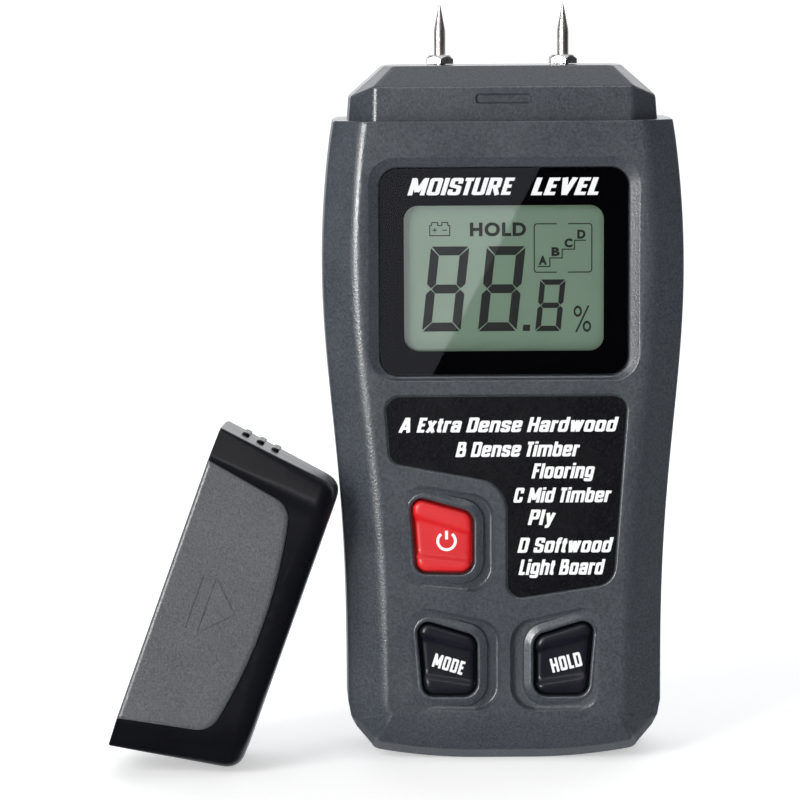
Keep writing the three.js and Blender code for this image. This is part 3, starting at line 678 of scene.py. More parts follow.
# ---- front shell ----
KEYS = {
    "power": {
        "outline": [(-17.1, 49.9, 1.7), (-16.1, 36.0, 1.9), (-6.0, 35.8, 2.2), (-6.0, 46.8, 2.2)],
        "dish": [(-19.0, 52.6, 3.5), (-18.0, 33.4, 3.5), (-2.0, 31.7, 4.6), (-2.0, 49.8, 4.6)],
        "shallow": -18.2,  # where the dish runs out, and where it is deepest
        "deep": -2.0,
        "upper_crease": (46.6, -0.30),  # height at the key's outer side, and slope towards its inner side
        "lower_crease": (38.9, -0.12),
        "look": "red_key",
        "slot": "red_key",
    },
    "mode": {
        "outline": [(-16.0, 27.0, 1.7), (-14.8, 13.0, 1.9), (-5.4, 13.0, 2.2), (-5.4, 23.7, 2.2)],
        "dish": [(-18.2, 30.1, 3.5), (-17.0, 10.3, 3.5), (-0.9, 9.9, 4.6), (-0.9, 26.3, 4.6)],
        "shallow": -17.4,
        "deep": -0.9,
        "upper_crease": (24.3, -0.27),
        "lower_crease": (16.4, -0.16),
        "look": "key_black",
        "slot": "soft_black",
    },
}
KEYS["hold"] = dict(KEYS["mode"])
for part in ("outline", "dish"):
    KEYS["hold"][part] = [(0.2 - x, z, r) for x, z, r in KEYS["mode"][part]][::-1]
KEYS["hold"].update(shallow=17.6, deep=1.1)
DISH_DEPTH = 1.5
NOSE_GROOVE = rectangle(-5, 121.6, 5, 123.3, 0.6)


def key_dish(key):
    """The cutter for a tilted dish round a key, with a collar left standing round the key's hole."""
    shallow, deep = key["shallow"], key["deep"]

    def depth(x):
        return max(-0.25, DISH_DEPTH * (x - shallow) / (deep - shallow))

    rings = [at_depth(rounded(grown(key["dish"], 0.3), 12), FACE - 0.3)]
    for grow, share in ((0.16, 0.0), (0.04, 0.10), (-0.10, 0.40), (-0.42, 0.86), (-0.8, 1.0)):
        outline = rounded(grown(key["dish"], grow), 12)
        rings.append([(x, FACE + depth(x) * share, z) for x, z in outline])
    dish = skin("dish", rings)
    levels = ((2.5, FACE + 1.8), (2.25, FACE + 0.95), (2.05, FACE + 0.56), (1.15, FACE + 0.13),
              (0.98, FACE + 0.04), (0.8, FACE), (0.8, FACE - 0.5))
    return cut(dish, plate("collar", key["outline"], levels, 10))


def key_hole(key):
    levels = ((0.95, FACE - 0.5), (0.75, FACE - 0.02), (0.5, FACE + 0.1), (0.36, FACE + 0.3), (0.35, -12))
    return plate("key_hole", key["outline"], levels, 10)


def window_recess():
    """A sloping frame from the face down to the lens, then straight down to the ledge behind it."""
    recess = rectangle(*RECESS)
    lens = rectangle(-LENS_HALF_WIDTH, LENS_LOW.z, LENS_HALF_WIDTH, LENS_HIGH.z, LENS_RADIUS)
    rings = [at_depth(rounded(grown(recess, grow), 10), y) for grow, y in (
        (0.6, FACE - 0.4), (0.22, FACE), (0.06, FACE + 0.06), (-0.1, FACE + 0.2))]
    rings += [at_depth(rounded(grown(lens, grow), 10), y) for grow, y in (
        (0.5, LENS_LOW.y - 0.12), (0.25, LENS_LOW.y), (0.15, LENS_LOW.y + 0.15), (0.15, -12.2))]
    return skin("window_recess", rings)


def front_shell():
    shell = join(body_half(-1), nose_half(-1))
    cut(shell, cavity())
    bosses = [dowel(x, z, (-13.5, PARTING[-1]), 3) for x, z in HOUSING_SCREWS]
    bosses += [dowel(x, z, (-13.5, -7.6), 2.2) for x, z in BOARD_SCREWS]
    frame_round_lens = block((-25.2, 25.2), (-13.5, -11.4), (70.2, 112.6))
    join(shell, *bosses, frame_round_lens)
    cut(shell, window_recess(), block((-19.4, 19.4), (-20, 0), (75, 104.6)))
    cut(shell, plate("label_recess", LABEL, ((0.9, FACE - 0.3), (0.42, FACE), (0.28, FACE + 0.04),
                                            (0.06, FACE + 0.2), (0.0, FACE + 0.35)), 12))
    for key in KEYS.values():
        cut(shell, key_dish(key))
        cut(shell, key_hole(key))
    nose_face = -NOSE_HALF_DEPTH
    levels = ((0.3, -14), (0.12, nose_face), (-0.05, 0.2 + nose_face), (-0.25, 0.55 + nose_face))
    cut(shell, plate("groove", NOSE_GROOVE, levels))
    cut(shell, *electrode_seats(), *[dowel(x, z, (-9, 3), 1.4) for x, z in HOUSING_SCREWS])
    return finish(shell, "meter", LOOKS["housing"], ["front_shell"])


# ---- rear shell and battery door ----
DOOR_OPENING = rectangle(-17, 15.8, 17, 71.8, 2)
DOOR_OUTLINE = rectangle(-16.7, 16.1, 16.7, 71.5, 1.8)
DOOR_GRIP = rectangle(-8.2, 18.6, 8.2, 29.7, 2.4)
BAY_HALF_WIDTH = 14.05
BAY = (16.2, 74.0)


def rear_shell():
    shell = join(body_half(1), nose_half(1))
    cut(shell, cavity())
    bosses = [dowel(x, z, (PARTING[1], 13.5), 4.1) for x, z in HOUSING_SCREWS]
    bay = block((-BAY_HALF_WIDTH - 1.2, BAY_HALF_WIDTH + 1.2), (-5.5, 13.5), (BAY[0] - 1.2, BAY[1] + 1.2))
    join(shell, *bosses, bay)
    lid = block((-15, 15), (13, 20), (71.8, 80))
    room = cut(block((-BAY_HALF_WIDTH, BAY_HALF_WIDTH), (-4.7, 20), BAY), lid)
    opening = plate("opening", DOOR_OPENING, ((0.0, 12.9), (0.0, 14.7), (0.12, 14.9), (0.4, 15.2)))
    cut(shell, room, opening, block((-5.5, 5.5), (-1, 8), (BAY[1] - 1, BAY[1] + 3)))
    for x, z in HOUSING_SCREWS:
        well = spun_along_y("well", ((2.9, 8.0), (2.9, 14.6), (3.05, 14.85), (3.5, 15.3)), x, z)
        cut(shell, well)
        cut(shell, dowel(x, z, (-1, 12), 1.4))
    cut(shell, *electrode_seats())
    return finish(shell, "meter", LOOKS["housing"], ["rear_shell"])


def spun_along_y(name, profile, x, z, sides=40):
    """A turned shape along Y: profile points are (radius, y)."""
    return skin(name, [[(x + r * math.cos(a), y, z + r * math.sin(a)) for a in around(sides)]
                       for r, y in profile])


def battery_door():
    edge = ((-0.15, 13.4), (0, 13.55), (0, 14.6), (-0.1, 14.85), (-0.35, 15))
    door = plate("battery_door_panel", DOOR_OUTLINE, edge)
    hooks = []
    for x in (-9, 9):
        hooks.append(block((x - 2.5, x + 2.5), (12, 13.5), (68.3, 71.3)))
        hooks.append(block((x - 2.5, x + 2.5), (11.8, 12.8), (68.3, 73)))
    join(door, *hooks, block((-5, 5), (11.6, 13.5), (16.5, 17.2)))
    cut(door, plate("grip", DOOR_GRIP, ((0.3, 15.3), (0.12, 15), (0, 14.85), (-0.4, 14.7))))
    for z in (20, 22.4, 24.8, 27.2):
        groove = rectangle(-6, z, 6, z + 1.1, 0.5)
        cut(door, plate("groove", groove, ((0.2, 14.9), (0.1, 14.7), (-0.1, 14.45))))
    return finish(door, "battery_door", LOOKS["housing"], ["battery_door"])


# ---- window, display and print ----
def flat_mark(outline, y):
    """A printed shape: a thin slab in front of depth y."""
    return skin("mark", [at_depth(outline, y), at_depth(outline, y - PRINT)])


def stroke_outline(points, width, outer=0.0, inner=0.0, steps=5):
    """The outline of a line drawn through points: outer and inner are the radii at its bends."""
    points = [Vector(p) for p in points]
    ways = [(b - a).normalized() for a, b in zip(points, points[1:])]
    left, right = [], []
    for i, point in enumerate(points):
        before, after = ways[max(i - 1, 0)], ways[min(i, len(ways) - 1)]
        sideways = Vector((-before.y - after.y, before.x + after.x))
        sideways *= width / 2 / (1 + before.dot(after))
        turn = before.x * after.y - before.y * after.x
        bends = (inner, outer) if turn > 0 else (outer, inner)
        a, b = bends if abs(turn) > 0.2 else (0.0, 0.0)
        left.append((point.x + sideways.x, point.y + sideways.y, a))
        right.append((point.x - sideways.x, point.y - sideways.y, b))
    return rounded(right + left[::-1], steps)


def stroke(points, width, y):
    """A printed line through points."""
    return flat_mark(stroke_outline(points, width), y)


def loop_mark(corners, width, y):
    """A printed line along a closed outline of rounded corners."""
    outer = rounded(grown(corners, width / 2), 5)
    inner = rounded(grown(corners, -width / 2), 5)
    back = y - PRINT
    rings = [at_depth(outer, y), at_depth(inner, y), at_depth(inner, back), at_depth(outer, back)]
    return skin("loop", rings, closed=True)


# Heavy narrow letters. A list is a stroke's centre line and a tuple a closed
# box (x0, z0, x1, z1). Capitals are 8 high.
LETTERS = {
    "A": [[(0, -0.9), (1.8, 8.9)], [(4.1, -0.9), (2.3, 8.9)], [(0.8, 1.9), (3.3, 1.9)],
          [(1.6, 8.1), (2.5, 8.1)]],
    "B": [(0, 4.1, 2.8, 8), (0, 0, 3.4, 4.1)],
    "C": [[(3.2, 5.2), (3.2, 8), (0, 8), (0, 0), (3.2, 0), (3.2, 2.8)]],
    "D": [(0, 0, 3.3, 8)],
    "E": [[(2.8, 8), (0, 8), (0, 0), (2.8, 0)], [(0, 4.1), (2.4, 4.1)]],
    "F": [[(2.8, 8), (0, 8), (0, -0.9)], [(0, 4.1), (2.4, 4.1)]],
    "H": [[(0, -0.9), (0, 8.9)], [(3.4, -0.9), (3.4, 8.9)], [(0, 4.1), (3.4, 4.1)]],
    "I": [[(0, -0.9), (0, 8.9)]],
    "L": [[(0, 8.9), (0, 0), (2.6, 0)]],
    "M": [[(0, -0.9), (0, 8.9)], [(4.9, -0.9), (4.9, 8.9)], [(0.3, 8.3), (2.4, 1)], [(4.6, 8.3), (2.5, 1)]],
    "O": [(0, 0, 3.3, 8)],
    "P": [[(0, -0.9), (0, 5)], (0, 3.5, 3.2, 8)],
    "R": [[(0, -0.9), (0, 5)], (0, 3.9, 3.1, 8), [(1.8, 3.9), (3.6, -0.9)]],
    "S": [[(3.2, 5.6), (3.2, 8), (0, 8), (0, 4.5), (3.2, 3.5), (3.2, 0), (0, 0), (0, 2.4)]],
    "T": [[(-0.2, 8), (3.2, 8)], [(1.5, 8), (1.5, -0.9)]],
    "U": [[(0, 8.9), (0, 0), (3.3, 0), (3.3, 8.9)]],
    "V": [[(0, 8.9), (1.6, -0.8)], [(3.3, 8.9), (1.7, -0.8)]],
    "a": [[(0.1, 4.2), (0.1, 5.9), (3, 5.9), (3, -0.9)], (0, 0, 3, 3)],
    "b": [[(0, 8.9), (0, 3)], (0, 0, 3.1, 5.9)],
    "d": [[(3.1, 8.9), (3.1, 3)], (0, 0, 3.1, 5.9)],
    "e": [(0, 3, 3.1, 5.9), [(0, 4), (0, 0), (3.1, 0), (3.1, 1.5)]],
    "f": [[(2.3, 8), (0.8, 8), (0.8, -0.9)], [(-0.4, 5.7), (2.2, 5.7)]],
    "g": [(0, 0.6, 3.1, 5.9), [(3.1, 2), (3.1, -2), (0, -2), (0, -0.9)]],
    "h": [[(0, 8.9), (0, -0.9)], [(0, 5.9), (3.1, 5.9), (3.1, -0.9)]],
    "i": [[(0, 6.8), (0, -0.9)], [(0, 9.1), (0, 7.6)]],
    "l": [[(0, 8.9), (0, -0.9)]],
    "m": [[(0, 6.8), (0, -0.9)], [(0, 5.9), (3, 5.9), (3, -0.9)], [(3, 5.9), (6, 5.9), (6, -0.9)]],
    "n": [[(0, 6.8), (0, -0.9)], [(0, 5.9), (3.1, 5.9), (3.1, -0.9)]],
    "o": [(0, 0, 3.1, 5.9)],
    "r": [[(0, 6.8), (0, -0.9)], [(0, 5.8), (2.3, 5.8)]],
    "s": [[(2.9, 4.2), (2.9, 5.9), (0, 5.9), (0, 3.5), (2.9, 2.4), (2.9, 0), (0, 0), (0, 1.7)]],
    "t": [[(0.8, 8.2), (0.8, 0), (2.2, 0)], [(-0.4, 5.7), (2.1, 5.7)]],
    "w": [[(0, 6.8), (1.25, -0.8)], [(2.5, 6.6), (1.25, -0.8)], [(2.5, 6.6), (3.75, -0.8)],
          [(5, 6.8), (3.75, -0.8)]],
    "x": [[(0, -0.9), (3, 6.8)], [(0, 6.8), (3, -0.9)]],
    "y": [[(0, 6.8), (1.6, 0.6)], [(3.2, 6.8), (1.3, -1.9), (0, -1.9)]],
}
ROUND_LETTERS = "BCDOPRSUabdefghmnorsty"
STEM = 1.85
LETTER_GAP = 0.65
WORD_GAP = 2.6


def letter(sign):
    """One heavy letter, standing at x = 0 on z = 0, as its mesh."""
    outer, inner = (1.25, 0.2) if sign in ROUND_LETTERS else (0.12, 0.05)
    parts = []
    for points in LETTERS[sign]:
        if isinstance(points, tuple):
            corners = rectangle(*points, 0.5)
            square = points[0] if sign in "BDPR" else None
            radii = [0.12 if x == square else outer for x, _, _ in corners]
            outside = [(x, z, r) for (x, z, _), r in zip(grown(corners, STEM / 2), radii)]
            inside = [(x, z, inner) for x, z, _ in grown(corners, -STEM / 2)]
            outside, inside = rounded(outside, 5), rounded(inside, 5)
            rings = [at_depth(outside, 0), at_depth(inside, 0), at_depth(inside, -1), at_depth(outside, -1)]
            parts.append(skin("loop", rings, closed=True))
        else:
            outline = stroke_outline(points, STEM, outer, inner)
            parts.append(skin("line", [at_depth(outline, 0), at_depth(outline, -1)]))
    whole = parts[0]
    if parts[1:]:
        join(whole, *parts[1:])
    mesh = whole.data
    bpy.data.objects.remove(whole)
    return mesh


LETTER_MESHES = {}


def words(body, centre, size, y, slant=0.0, turn=0.0, gap=LETTER_GAP):
    """Heavy print that fills a size (width, height) round a centre (x, z)."""
    work = bmesh.new()
    cursor = 0.0
    for sign in body:
        if sign == " ":
            cursor += WORD_GAP
            continue
        if sign not in LETTER_MESHES:
            LETTER_MESHES[sign] = letter(sign)
        mesh = LETTER_MESHES[sign].copy()
        width = (max(v.co.x for v in mesh.vertices) - min(v.co.x for v in mesh.vertices)) / MM
        left = min(v.co.x for v in mesh.vertices) / MM
        for vertex in mesh.vertices:
            vertex.co = vertex.co / MM
            vertex.co.x += cursor - left + slant * vertex.co.z
        cursor += width + gap
        work.from_mesh(mesh)
    mesh = bpy.data.meshes.new("words")
    work.to_mesh(mesh)
    work.free()
    fit(mesh, (0, 2, 1), centre, size, y, turn)
    return link("words", mesh)


def fit(mesh, axes, centre, size, y, turn=0.0):
    """Fills a box of the front view with a flat mesh whose width, height and depth axes are given."""
    low = [min(v.co[i] for v in mesh.vertices) for i in axes]
    high = [max(v.co[i] for v in mesh.vertices) for i in axes]
    turned = Matrix.Rotation(turn, 2)
    for vertex in mesh.vertices:
        across, up, depth = [(vertex.co[axis] - low[i]) / (high[i] - low[i]) for i, axis in enumerate(axes)]
        x, z = turned @ Vector(((across - 0.5) * size[0], (up - 0.5) * size[1]))
        level = y - PRINT * (1 - depth if axes[2] == 1 else depth)
        vertex.co = Vector((centre[0] + x, level, centre[1] + z)) * MM


def text(body, centre, size, y, bold=0.0, spacing=1.0):
    """Light print. centre is (x, z), size the (width, height) that the words fill."""
    curve = bpy.data.curves.new("text", "FONT")
    curve.body = body
    curve.offset = bold
    curve.space_character = spacing
    curve.extrude = 0.5
    curve.resolution_u = 4
    carrier = link("text", curve)
    graph = bpy.context.evaluated_depsgraph_get()
    mesh = bpy.data.meshes.new_from_object(carrier.evaluated_get(graph))
    bpy.data.objects.remove(carrier)
    fit(mesh, (0, 1, 2), centre, size, y)
    return link("text", mesh)


def in_box(x0, z0, x1, z1):
    """Centre and size of a box, as text() takes them."""
    return ((x0 + x1) / 2, (z0 + z1) / 2), (x1 - x0, z1 - z0)


def seven_segments(x0, z0, x1, z1, thick, y, slant=0.11, gap=0.16):
    """All seven segments of one digit, leaning to the right."""
    lean = slant * (z1 - z0)
    wide, tall = x1 - x0 - lean, z1 - z0
    t, g, middle = thick, gap, tall / 2
    top = [(g, tall), (wide - g, tall), (wide - t - g * 0.4, tall - t), (t + g * 0.4, tall - t)]
    bar = [(t / 2 + g, middle), (t + g / 2, middle - t / 2), (wide - t - g / 2, middle - t / 2),
           (wide - t / 2 - g, middle), (wide - t - g / 2, middle + t / 2), (t + g / 2, middle + t / 2)]
    post_up = [(0, tall - g * 1.6), (0, middle + t / 2 + g * 0.8), (t / 2, middle + g * 0.8),
               (t, middle + t / 2 + g * 0.4), (t, tall - t - g * 0.8)]
    shapes = [top, bar, post_up]
    shapes.append([(x, tall - z) for x, z in top[::-1]])
    shapes.append([(x, tall - z) for x, z in post_up[::-1]])
    shapes += [[(wide - x, z) for x, z in shape[::-1]] for shape in (shapes[2], shapes[4])]
    return [flat_mark([(x0 + x + slant * z, z0 + z) for x, z in shape], y) for shape in shapes]


def arc(x, z, radius, start, end, steps=20):
    """Points on an arc, from one angle to another in degrees."""
    turns = [math.radians(mix(start, end, i / steps)) for i in range(steps + 1)]
    return [(x + radius * math.cos(a), z + radius * math.sin(a)) for a in turns]


GRADE_FRAME = (5.6, 90.75, 16.1, 99.6, 0.5)  # x0, z0, x1, z1, corner radius
GRADE_LINE = 0.2


def display_marks():
    """The segments and signs of the display, just in front of its glass."""
    y = GLASS_LOW.y - 0.01
    marks = seven_segments(-14.95, 79.99, -6.22, 95.55, 1.62, y)
    marks += seven_segments(-4.73, 79.99, 4.05, 95.55, 1.62, y)
    marks += seven_segments(5.75, 79.94, 11.35, 89.42, 0.98, y, 0.10, 0.12)
    marks.append(flat_mark([(3.45, 79.99), (4.78, 79.99), (4.88, 81.14), (3.55, 81.14)], y))
    marks.append(text("HOLD", *in_box(-6.13, 97.36, 4.12, 99.92), y, bold=0.042, spacing=1.14))
    marks.append(text("%", *in_box(12.77, 79.74, 16.0, 84.62), y, bold=-0.004))
    x0, z0, x1, z1, corner = GRADE_FRAME
    for gap, x, *turns in ((9.7, x0 + corner, 90, 180, 270), (11.75, x1 - corner, 90, 0, -90)):
        top = arc(x, z1 - corner, corner, *turns[:2], 5)
        bottom = arc(x, z0 + corner, corner, *turns[1:], 5)
        marks.append(stroke([(gap, z1), *top, *bottom, (gap, z0)], GRADE_LINE, y))
    steps = [(6.2, 91.8), (8.45, 91.8), (8.45, 93.35), (10.7, 93.35), (10.7, 94.95), (12.95, 94.95),
             (12.95, 96.55), (15.0, 96.55)]
    marks.append(stroke(steps, GRADE_LINE, y))
    for i, sign in enumerate("ABCD"):
        x, z = 7.15 + 2.35 * i, 92.1 + 1.58 * i
        marks.append(text(sign, *in_box(x - 0.75, z, x + 0.75, z + 1.65), y, bold=0.055))
    marks += battery_sign(-13.45, 97.55, y)
    return finish(merged("display_segments", marks), "meter", LOOKS["segment_ink"])


def battery_sign(x, z, y):
    case = [(0, 0), (3.65, 0), (3.65, 1.85), (3.3, 1.85), (3.3, 2.4), (2.2, 2.4), (2.2, 1.85), (1.45, 1.85),
            (1.45, 2.4), (0.35, 2.4), (0.35, 1.85), (0, 1.85)]
    lines = [loop_mark([(x + dx, z + dz, 0.03) for dx, dz in case], 0.17, y)]
    for a, b in (((0.5, 1.0), (1.35, 1.0)), ((0.93, 0.6), (0.93, 1.4)), ((2.3, 1.0), (3.15, 1.0))):
        lines.append(stroke([(x + a[0], z + a[1]), (x + b[0], z + b[1])], 0.16, y))
    return lines


def window():
    lens = rectangle(-LENS_HALF_WIDTH, LENS_LOW.z, LENS_HALF_WIDTH, LENS_HIGH.z, LENS_RADIUS)
    y0, y1 = LENS_LOW.y, LENS_HIGH.y
    glass = plate("window_glass", lens, ((-0.04, y0), (0, y0 + 0.04), (0, y1)), 10)
    finish(glass, "meter", LOOKS["lens"], ["window_lens"])
    border = plate("window_border", lens, ((-0.02, INK[0]), (-0.02, INK[1])), 10)
    hole = plate("hole", rectangle(*DISPLAY_OPENING), ((0, INK[0] - 1), (0, INK[1] + 1)), 10)
    finish(cut(border, hole), "meter", LOOKS["black_ink"])
    title = [words("MOISTURE", *in_box(-17.5, 104.9, 2.1, 108.15), INK[0] - 0.005, 0.22),
             words("LEVEL", *in_box(4.9, 104.9, 17.3, 108.15), INK[0] - 0.005, 0.22)]
    finish(merged("window_title", title), "meter", LOOKS["white_ink"])


LABEL_LINES = [  # words and the box that they fill
    ("A Extra Dense Hardwood", -19.4, 61.75, 20.9, 64.6),
    ("B Dense Timber", -9.0, 57.3, 13.8, 60.1),
    ("Flooring", 4.9, 52.7, 16.5, 56.1),
    ("C Mid Timber", 1.6, 48.8, 19.6, 51.6),
    ("Ply", 4.2, 44.1, 9.4, 47.5),
    ("D Softwood", 2.3, 39.5, 20.0, 42.3),
    ("Light Board", 2.5, 34.8, 18.5, 38.3),
]


def label():
    front, back = LABEL_LOW.y, LABEL_HIGH.y
    overlay = plate("label_overlay", LABEL, ((-0.12, back), (-0.12, front + 0.06), (-0.2, front)), 10)
    finish(overlay, "meter", LOOKS["label"], ["species_label"])
    lines = [words(line, *in_box(*box), front, 0.2) for line, *box in LABEL_LINES]
    finish(merged("label_print", lines), "meter", LOOKS["white_ink"])


# ---- keys ----
KEY_FACE = limits("power_key")[0].y
SCOOP_DEPTH = 1.15


def key_cap(name, key):
    """A key with raised bands along its top and bottom and a scooped middle."""
    outline = key["outline"]
    outer = min((x for x, _, _ in outline), key=lambda x: -abs(x))

    def scoop(x, z):
        inward = abs(outer) - abs(x)
        upper = key["upper_crease"][0] + key["upper_crease"][1] * inward
        lower = key["lower_crease"][0] + key["lower_crease"][1] * inward
        return SCOOP_DEPTH * smooth((upper - z) / 1.1 + 0.3) * smooth((z - lower) / 1.5 + 0.3)

    face = KEY_FACE
    levels = [(0.9, -12.2), (0.9, -12.55), (-0.1, -12.6), (-0.1, face + 1.0), (-0.18, face + 0.62),
              (-0.37, face + 0.3), (-0.68, face + 0.09), (-1.1, face)]
    rings = []
    for grow, y in levels:
        ring = divided(rounded(grown(outline, grow), 8), 9, 16)
        on_face = 1.0 if y < face + 1 else 0.0
        rings.append([(x, y + on_face * scoop(x, z), z) for x, z in ring])
    last = divided(rounded(grown(outline, levels[-1][0]), 8), 9, 16)
    centre = sum(last, Vector((0, 0))) / len(last)
    for step in range(1, 12):
        ring = [p.lerp(centre, step / 12) for p in last]
        rings.append([(p.x, face + scoop(p.x, p.y), p.y) for p in ring])
    cap = skin(f"{name}_key_cap", rings)
    return finish(cap, f"{name}_key", LOOKS[key["look"]], [f"{name}_key"], 60)


def keys():
    for name, key in KEYS.items():
        key_cap(name, key)
    y = KEY_FACE + SCOOP_DEPTH
    sign = [stroke(arc(-10.65, 41.6, 1.62, 128, 412, 36), 0.52, y)]
    sign.append(stroke([(-10.65, 41.9), (-10.65, 43.5)], 0.55, y))
    finish(merged("power_sign", sign), "power_key", LOOKS["white_ink"])
    tilt, gap = math.radians(17), 1.1
    mode = words("MODE", (-10.35, 18.6), (5.8, 2.6), y, 0.0, -tilt, gap)
    finish(mode, "mode_key", LOOKS["white_ink"])
    hold = words("HOLD", (11.3, 18.8), (5.7, 2.7), y, 0.0, 0.8 * tilt, gap)
    finish(hold, "hold_key", LOOKS["white_ink"])


# ---- electrodes and screws ----
def electrodes():
    for side, x in zip(("left", "right"), PIN_XS):
        low, high = limits(f"electrode_pin_{side}")
        r, tip, foot = PIN_RADIUS, high.z, low.z
        profile = [(0.01, foot), (r * 0.8, foot), (r, foot + 0.2), (r, 134.3), (r * 0.99, 134.6),
                   (r * 0.955, 134.95), (0.24, tip - 0.42), (0.17, tip - 0.15), (0.09, tip - 0.03),
                   (0.01, tip)]
        pin = spun(f"electrode_{side}", profile, x)
        finish(pin, "meter", LOOKS["steel"], [f"electrode_pin_{side}"])
        hex_collar(side, x)


def hex_collar(side, x):
    """A hexagon collar whose top corners are turned to a cone, with a bore for the pin."""
    low, high = limits(f"collar_nut_{side}")
    turn = {"left": 2, "right": 8}[side]
    radius = NUT_RADIUS
    rings = []
    for z, grow in ((low.z, 0.97), (low.z + 0.08, 1.0), (high.z, 1.0)):
        corners = [(radius * grow * math.cos(a), radius * grow * math.sin(a), 0.12)
                   for a in [math.radians(60 * i + 30 + turn) for i in range(6)]]
        rings.append([(x + p.x, p.y, z) for p in rounded(corners, 3)])
    collar = skin(f"hex_collar_{side}", rings)
    cone = ((3, low.z - 1), (3, low.z + 0.55), (radius * 0.80, high.z), (radius * 0.2, high.z + 0.9))
    combine(collar, "INTERSECT", [spun("turned_top", cone, x, 64)])
    cut(collar, post(x, (low.z - 1, high.z + 1), PIN_RADIUS + 0.12))
    finish(collar, "meter", LOOKS["bright_steel"], [f"collar_nut_{side}"], 25)


def housing_screws():
    for i, (x, z) in enumerate(HOUSING_SCREWS, 1):
        low, high = limits(f"housing_screw_{i}")
        seat = SCREW_HEAD_FOOT
        profile = ((0.02, low.y), (0.9, low.y + 0.6), (1.2, low.y + 1), (1.2, seat), (2.5, seat),
                   (2.68, seat + 0.2), (2.62, seat + 0.8), (2.2, high.y - 0.25), (1.3, high.y - 0.04),
                   (0.4, high.y))
        screw = spun_along_y(f"screw_{i}", profile, x, z)
        for wide, tall in ((1.55, 0.32), (0.32, 1.55)):
            cut(screw, block((x - wide, x + wide), (high.y - 0.75, high.y + 1), (z - tall, z + tall)))
        finish(screw, "meter", LOOKS["zinc"], [f"housing_screw_{i}"])


# ---- protective cap, in its fitted frame: rim at z = 0, closed end up ----
PANEL_PROUD = 0.7
PANEL_DEPTH = 0.9
CAP_BEVEL = 4.3
CAP_RIM = {"flat": 25.4, "side": 31.32, "depth": 15.0, "flat_radius": 2.6, "edge_radius": 1.2}
CAP_END = {"flat": 22.2, "side": 27.9, "depth": 13.2, "flat_radius": 9.0, "edge_radius": 4.0}
CAP_WALL = 1.6
RIB_HEIGHTS = (4.5, 7.5, 10.5)


def cap_size(key, z):
    return mix(CAP_RIM[key], CAP_END[key], z / CAP_HEIGHT)


def cap_section(z, inset=0.0, sink=0.0):
    """The cap's outline at one height. sink lowers the front and rear faces only."""
    flat, side, depth = [cap_size(key, z) - inset for key in ("flat", "side", "depth")]
    rise = smooth(z / CAP_HEIGHT)
    flat_radius = mix(CAP_RIM["flat_radius"], CAP_END["flat_radius"], rise)
    edge_radius = mix(CAP_RIM["edge_radius"], CAP_END["edge_radius"], rise)
    edge_y = depth - CAP_BEVEL
    half = [
        (flat + inset / 2, sink - depth, flat_radius),
        (side - SIDE_DRAFT, -edge_y, edge_radius),
        (side, PARTING_LINE, 0.3),
        (side - SIDE_DRAFT, edge_y, edge_radius),
        (flat + inset / 2, depth - sink, flat_radius),
    ]
    corners = half + [(-x, y, r) for x, y, r in half[::-1]]
    return [Vector((p.x, p.y, z)) for p in rounded(corners, 6)]


def cap_form(inset=0.0, sink=0.0, z0=0.0, z1=CAP_HEIGHT, end=3.4, rim=0.05):
    heights = [z0, mix(z0, z1, 0.3), mix(z0, z1, 0.6), z1]
    paths = []
    for line in zip(*[cap_section(z, inset, sink) for z in heights]):
        first, last = line[0], line[-1]
        inner = Vector((first.x * 0.95, first.y * 0.9, z0))
        middle = Vector((last.x * 0.72, last.y * 0.55, z1))
        paths.append(softened([inner, *line, middle], [rim, 0.5, 0.5, end], 7))
    return skin("cap_form", [list(ring) for ring in zip(*paths)])


def panel_outline(grow):
    """The panel's front view: tapering sides and a shallow arc below the closed end."""
    half_rim = CAP_RIM["flat"] - 0.5 + grow
    shoulder = (21.8 + grow, 16.7 + grow)
    crown = 19.3 + grow
    radius = (shoulder[0] ** 2 + (crown - shoulder[1]) ** 2) / (2 * (crown - shoulder[1]))
    corners = [(-half_rim, -grow, 0.2), (half_rim, -grow, 0.2)]
    count = 12
    for i in range(count + 1):
        x = shoulder[0] * (1 - 2 * i / count)
        z = crown - radius + math.sqrt(radius**2 - x**2)
        corners.append((x, z, 4.2 if i in (0, count) else 0))
    return rounded(corners, 8)


def on_cap_face(name, levels, face, outline=panel_outline):
    """A plate that follows the cap's sloping face: levels are (outline's growth, depth below the face)."""
    rings = []
    for grow, depth in levels:
        rings.append([(p.x, face * (cap_size("depth", max(p.y, 0)) - depth), p.y) for p in outline(grow)])
    return skin(name, rings)


def cap_shell():
    shell = cap_form(0, PANEL_PROUD, rim=0.35)
    join(shell, *[grip_rib(side, cap_size("side", z), z) for side in (-1, 1) for z in RIB_HEIGHTS])
    for face in (-1, 1):
        cut(shell, on_cap_face("pocket", ((0.3, -1), (0.12, PANEL_PROUD), (0.12, PANEL_DEPTH + 0.15)), face))
    cut(shell, cap_form(CAP_WALL, 0, -0.5, CAP_HEIGHT - CAP_WALL, 2.0))
    shell.data.transform(CAP_FRAME)
    return finish(shell, "cap", LOOKS["soft_black"], ["cap_shell"])


def grip_rib(side, x, z):
    """A soft-edged rib across a short side, proud by a third of a millimetre."""
    rings = []
    for reach, shrink in ((-1.2, 0.0), (0.12, 0.0), (0.28, 0.12), (0.35, 0.3)):
        corners = rectangle(-4.4 + shrink, z - 0.7 + shrink, 4.4 - shrink, z + 0.7 - shrink, 0.45)
        rings.append([(side * (x + reach), p.x, p.y) for p in rounded(corners, 4)])
    return skin("rib", rings)


